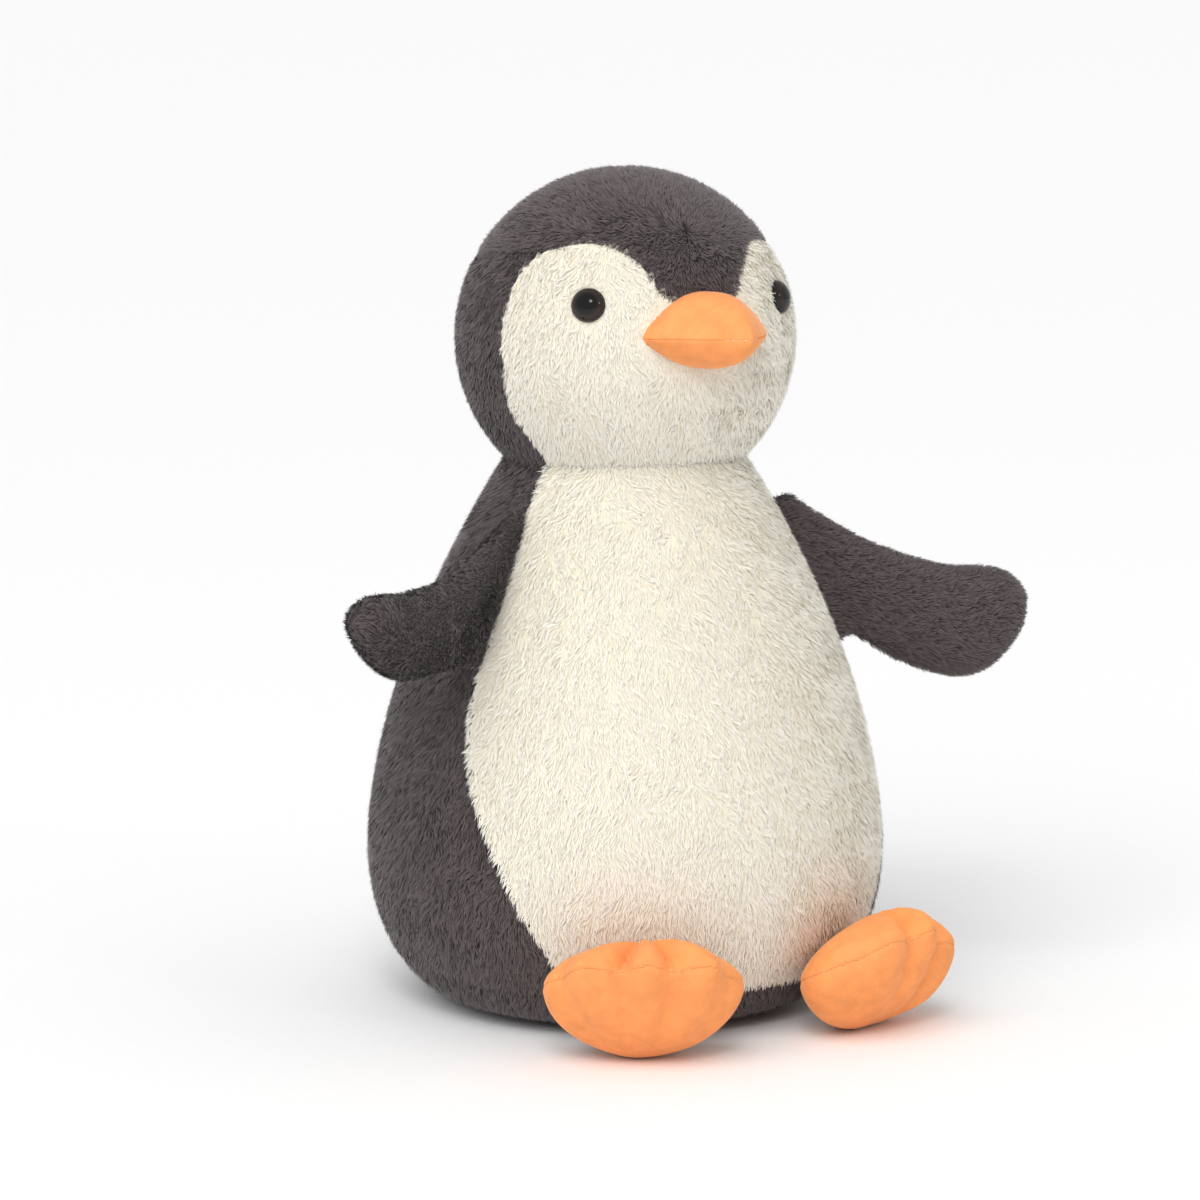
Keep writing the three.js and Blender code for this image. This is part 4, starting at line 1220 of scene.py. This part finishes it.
class PENGUIN_OT_feet(bpy.types.Operator):
    """Sew each foot's top and sole, with grooves between its toes"""

    bl_idname = "penguin.feet"
    bl_label = "Feet"

    def execute(self, context):
        settings = context.scene.penguin_suedette
        heel = torso_radius(FOOT_SEAM) + FOOT_CLEARANCE
        for name, side in SIDES:
            place = Matrix.Translation(around(heel, side * FOOT_ANGLE, 0)) @ Matrix.Rotation(
                math.radians(side * FOOT_ANGLE - 90), 4, "Z")
            rings = []
            for k in range(1, 24):
                share = math.sin(math.radians(90 * min(k, 24 - k) / 12))
                rings.append(foot_points(side, TOE_DROOP[name], share, k > 12, 1.2 * MM))
            skin = evenly(shown("Foot skin", closed_mesh("Foot skin", rings)), 2.6 * MM)

            def seam_gap(co):
                angle, share = foot_place_of(co)
                height = foot_seam_height(co[:, 0], side * co[:, 1], TOE_DROOP[name], angle,
                                          np.minimum(share, 1))
                return co[:, 2] - height

            def held(co):
                floor = 1 - smooth_step(co[:, 2], 1 * MM, 5 * MM)
                return np.maximum(floor, 1 - smooth_step(np.abs(seam_gap(co)), 0, 4 * MM))

            pressed_out(skin, held, 1.6 * MM)
            finer = skin.modifiers.new("Finer cloth", "SUBSURF")
            finer.levels = finer.render_levels = 1
            plain(skin)
            self.shape(skin.data, settings, seam_gap(coordinates(skin.data)))
            settle = skin.modifiers.new("Smooth cloth", "SMOOTH")
            settle.factor, settle.iterations = 0.5, 4
            plain(skin)
            co = coordinates(skin.data)
            gap = seam_gap(co)
            move = np.array(place)
            move_points(skin.data, co @ move[:3, :3].T + move[:3, 3])
            for part, facing in (("top", 1), ("sole", -1)):
                made = self.panel(f"foot_{part}_cloth_{name}", skin.data, gap * facing)
                stuffed([f"foot_{part}_{name}"])
                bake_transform(made)
            bpy.data.objects.remove(skin)
        return {"FINISHED"}

    def shape(self, mesh, settings, gap):
        """Pulls the cloth in between the toes and along the seam."""
        co, up = coordinates(mesh), normals(mesh)
        angle, share = foot_place_of(co)
        between = (1 - toe_share(angle)) * (np.abs(angle) < TOE_PITCH)
        dome = np.maximum(0, 1 - share**2) ** 0.6
        groove = settings.groove * between * share * dome * (gap > 0)
        crease = settings.pucker * np.exp(-((gap / (1.8 * MM)) ** 2)) * (1 - between)
        soft = np.array([1.5 * MM * noise.noise(Vector(p) / (30 * MM)) for p in co])
        moved = co + up * (soft - crease)[:, None]
        moved[:, 2] = np.maximum(moved[:, 2] - groove, 0.3 * MM)
        move_points(mesh, moved)

    def panel(self, name, skin, inside):
        """The part of a foot's skin on one side of its seam, with the cloth's thickness."""
        co = coordinates(skin)
        faces = [f.vertices[:] for f in skin.polygons if np.mean(inside[list(f.vertices)]) > 0]
        used = sorted({v for face in faces for v in face})
        index = {v: i for i, v in enumerate(used)}
        mesh = bpy.data.meshes.new(name)
        mesh.from_pydata([tuple(co[v]) for v in used], [], [[index[v] for v in f] for f in faces])
        for polygon in mesh.polygons:
            polygon.use_smooth = True
        made = shown(name, mesh)
        wall = made.modifiers.new("Cloth", "SOLIDIFY")
        wall.thickness = 1.2 * MM
        wall.offset = -1
        plain(made)
        made.data.materials.append(found("Brushed orange suedette", suedette_material))
        return made


# ---- Inside ----


class PENGUIN_OT_inside(bpy.types.Operator):
    """Give the fillings, the pellet pouch and the eye washers their own finish"""

    bl_idname = "penguin.inside"
    bl_label = "Inside"

    def execute(self, context):
        # Loose polyester fibre: white, with tangles about 3 mm across.
        fibre = found("Polyester fibre filling", hidden_material, "Polyester fibre filling",
                      "d9d9d6", "fbfbf9", 3 * MM, 1.0, 0.8 * MM)
        # Plain-woven cotton, its threads drawn 1 mm across.
        cotton = found("Woven cotton pouch", hidden_material, "Woven cotton pouch",
                       "c6c6c0", "e6e6e2", 1 * MM, 0.9, 0.2 * MM)
        # Moulded nylon, with a faint grain.
        nylon = found("Moulded nylon washer", hidden_material, "Moulded nylon washer",
                      "cfcfcb", "dededa", 2 * MM, 0.45, 0.05 * MM)
        finishes = {"fibre": fibre, "pouch_cloth": cotton, "washer_plastic": nylon}
        slots = {s["node"]: s["material_slot"] for s in frame["record"]["subparts"]}
        for name, node in frame["nodes"].items():
            finish = finishes.get(slots.get(name))
            if finish and not node.hide_render:
                for slot in node.material_slots:
                    slot.material = finish
        return {"FINISHED"}


# ---- Stage ----


class PENGUIN_OT_stage(bpy.types.Operator):
    """Set the pale floor, the soft light and the camera"""

    bl_idname = "penguin.stage"
    bl_label = "Stage"

    def execute(self, context):
        scene = context.scene
        settings = scene.penguin_stage
        scene.view_settings.view_transform = "Standard"
        mesh = bpy.data.meshes.new("Floor")
        far = 300.0
        mesh.from_pydata([(-far, -far, 0), (far, -far, 0), (far, far, 0), (-far, far, 0)], [],
                         [(0, 1, 2, 3)])
        floor = shown("Floor", mesh)
        # Seamless paper: matt, very pale, with a barely seen tooth.
        paper, tree, shader = surface("Seamless paper", roughness=0.95)
        place = add(tree, "ShaderNodeTexCoord").outputs["Object"]
        tooth = add(tree, "ShaderNodeTexNoise", {"Vector": place, "Scale": 1 / (6 * MM)})
        ramp = add(tree, "ShaderNodeValToRGB", {0: tooth.outputs[0]})
        ramp.color_ramp.elements[0].color = (0.9, 0.9, 0.9, 1)
        ramp.color_ramp.elements[1].color = (0.93, 0.93, 0.93, 1)
        tree.links.new(ramp.outputs[0], shader.inputs["Base Color"])
        mesh.materials.append(paper)
        world = bpy.data.worlds.new("Studio")
        world.use_nodes = True
        background = world.node_tree.nodes["Background"]
        background.inputs["Color"].default_value = (1, 1, 1, 1)
        # White where it is looked at, and dimmer as a light.
        seen = add(world.node_tree, "ShaderNodeLightPath").outputs["Is Camera Ray"]
        strength = add(world.node_tree, "ShaderNodeMapRange", {0: seen, 3: WORLD_LIGHT, 4: 1.0})
        world.node_tree.links.new(strength.outputs[0], background.inputs["Strength"])
        scene.world = world
        # One very large soft light from above and ahead, far enough to light the whole floor.
        over = bpy.data.lights.new("Overhead", "SUN")
        over.energy = settings.overhead
        over.angle = OVERHEAD_ANGLE
        self.aimed("Overhead", over, (-2.3, -1.9, 3.2)).visible_glossy = False
        for name, place, size, power in (
            ("Key", (-1.3, -2.2, 2.2), KEY_SIZE, KEY_POWER),
            ("Fill", (1.0, -2.6, 1.6), FILL_SIZE, FILL_POWER),
        ):
            box = bpy.data.lights.new(name, "AREA")
            box.size = size
            box.energy = power
            self.aimed(name, box, place)
        self.camera(settings)
        return {"FINISHED"}

    def aimed(self, name, data, place):
        """Places a light, turned to the toy's middle."""
        light = bpy.data.objects.new(name, data)
        light.location = place
        aim = Vector((0, 0, 0.22)) - Vector(place)
        light.rotation_euler = aim.to_track_quat("-Z", "Y").to_euler()
        bpy.context.scene.collection.objects.link(light)
        return light

    def camera(self, settings):
        """The camera, a long lens turned down a little on the toy."""
        a, e = settings.azimuth, settings.elevation
        back = Vector((math.sin(a) * math.cos(e), -math.cos(a) * math.cos(e), math.sin(e)))
        right = Vector((math.cos(a), math.sin(a), 0))
        up = back.cross(right)
        target = right * AIM_RIGHT + up * AIM_UP
        data = bpy.data.cameras.new("Camera")
        data.sensor_width = SENSOR
        data.lens = LENS
        data.clip_start, data.clip_end = 0.1, 900
        made = bpy.data.objects.new("Camera", data)
        made.location = target + back * settings.distance
        made.rotation_euler = (-back).to_track_quat("-Z", "Y").to_euler()
        bpy.context.scene.collection.objects.link(made)
        bpy.context.scene.camera = made


OPERATORS = (
    PENGUIN_OT_torso, PENGUIN_OT_head, PENGUIN_OT_eyes, PENGUIN_OT_beak,
    PENGUIN_OT_wings, PENGUIN_OT_feet, PENGUIN_OT_inside, PENGUIN_OT_stage,
)


class PENGUIN_PT_sidebar(bpy.types.Panel):
    """Sidebar with the toy's settings and one button for each group of pieces"""

    bl_idname = "PENGUIN_PT_sidebar"
    bl_label = "Plush penguin"
    bl_space_type = "VIEW_3D"
    bl_region_type = "UI"
    bl_category = "Penguin"

    def draw(self, context):
        for name, group in GROUPS.items():
            box = self.layout.box()
            for prop in group.__annotations__:
                box.prop(getattr(context.scene, name), prop)
        for operator in OPERATORS:
            self.layout.operator(operator.bl_idname)


def register():
    """Registers the settings, the operators and the panel."""
    for name, group in GROUPS.items():
        bpy.utils.register_class(group)
        setattr(bpy.types.Scene, name, PointerProperty(type=group))
    for operator in OPERATORS:
        bpy.utils.register_class(operator)
    bpy.utils.register_class(PENGUIN_PT_sidebar)


def unregister():
    """Takes them all out again."""
    bpy.utils.unregister_class(PENGUIN_PT_sidebar)
    for operator in reversed(OPERATORS):
        bpy.utils.unregister_class(operator)
    for name, group in reversed(GROUPS.items()):
        delattr(bpy.types.Scene, name)
        bpy.utils.unregister_class(group)


def main():
    """Builds the toy and its stage."""
    register()
    for operator in OPERATORS:
        group, name = operator.bl_idname.split(".")
        getattr(getattr(bpy.ops, group), name)()
    tuft = bpy.data.objects.get("Tuft")
    if tuft:
        bpy.data.objects.remove(tuft)


if __name__ == "__main__":
    main()
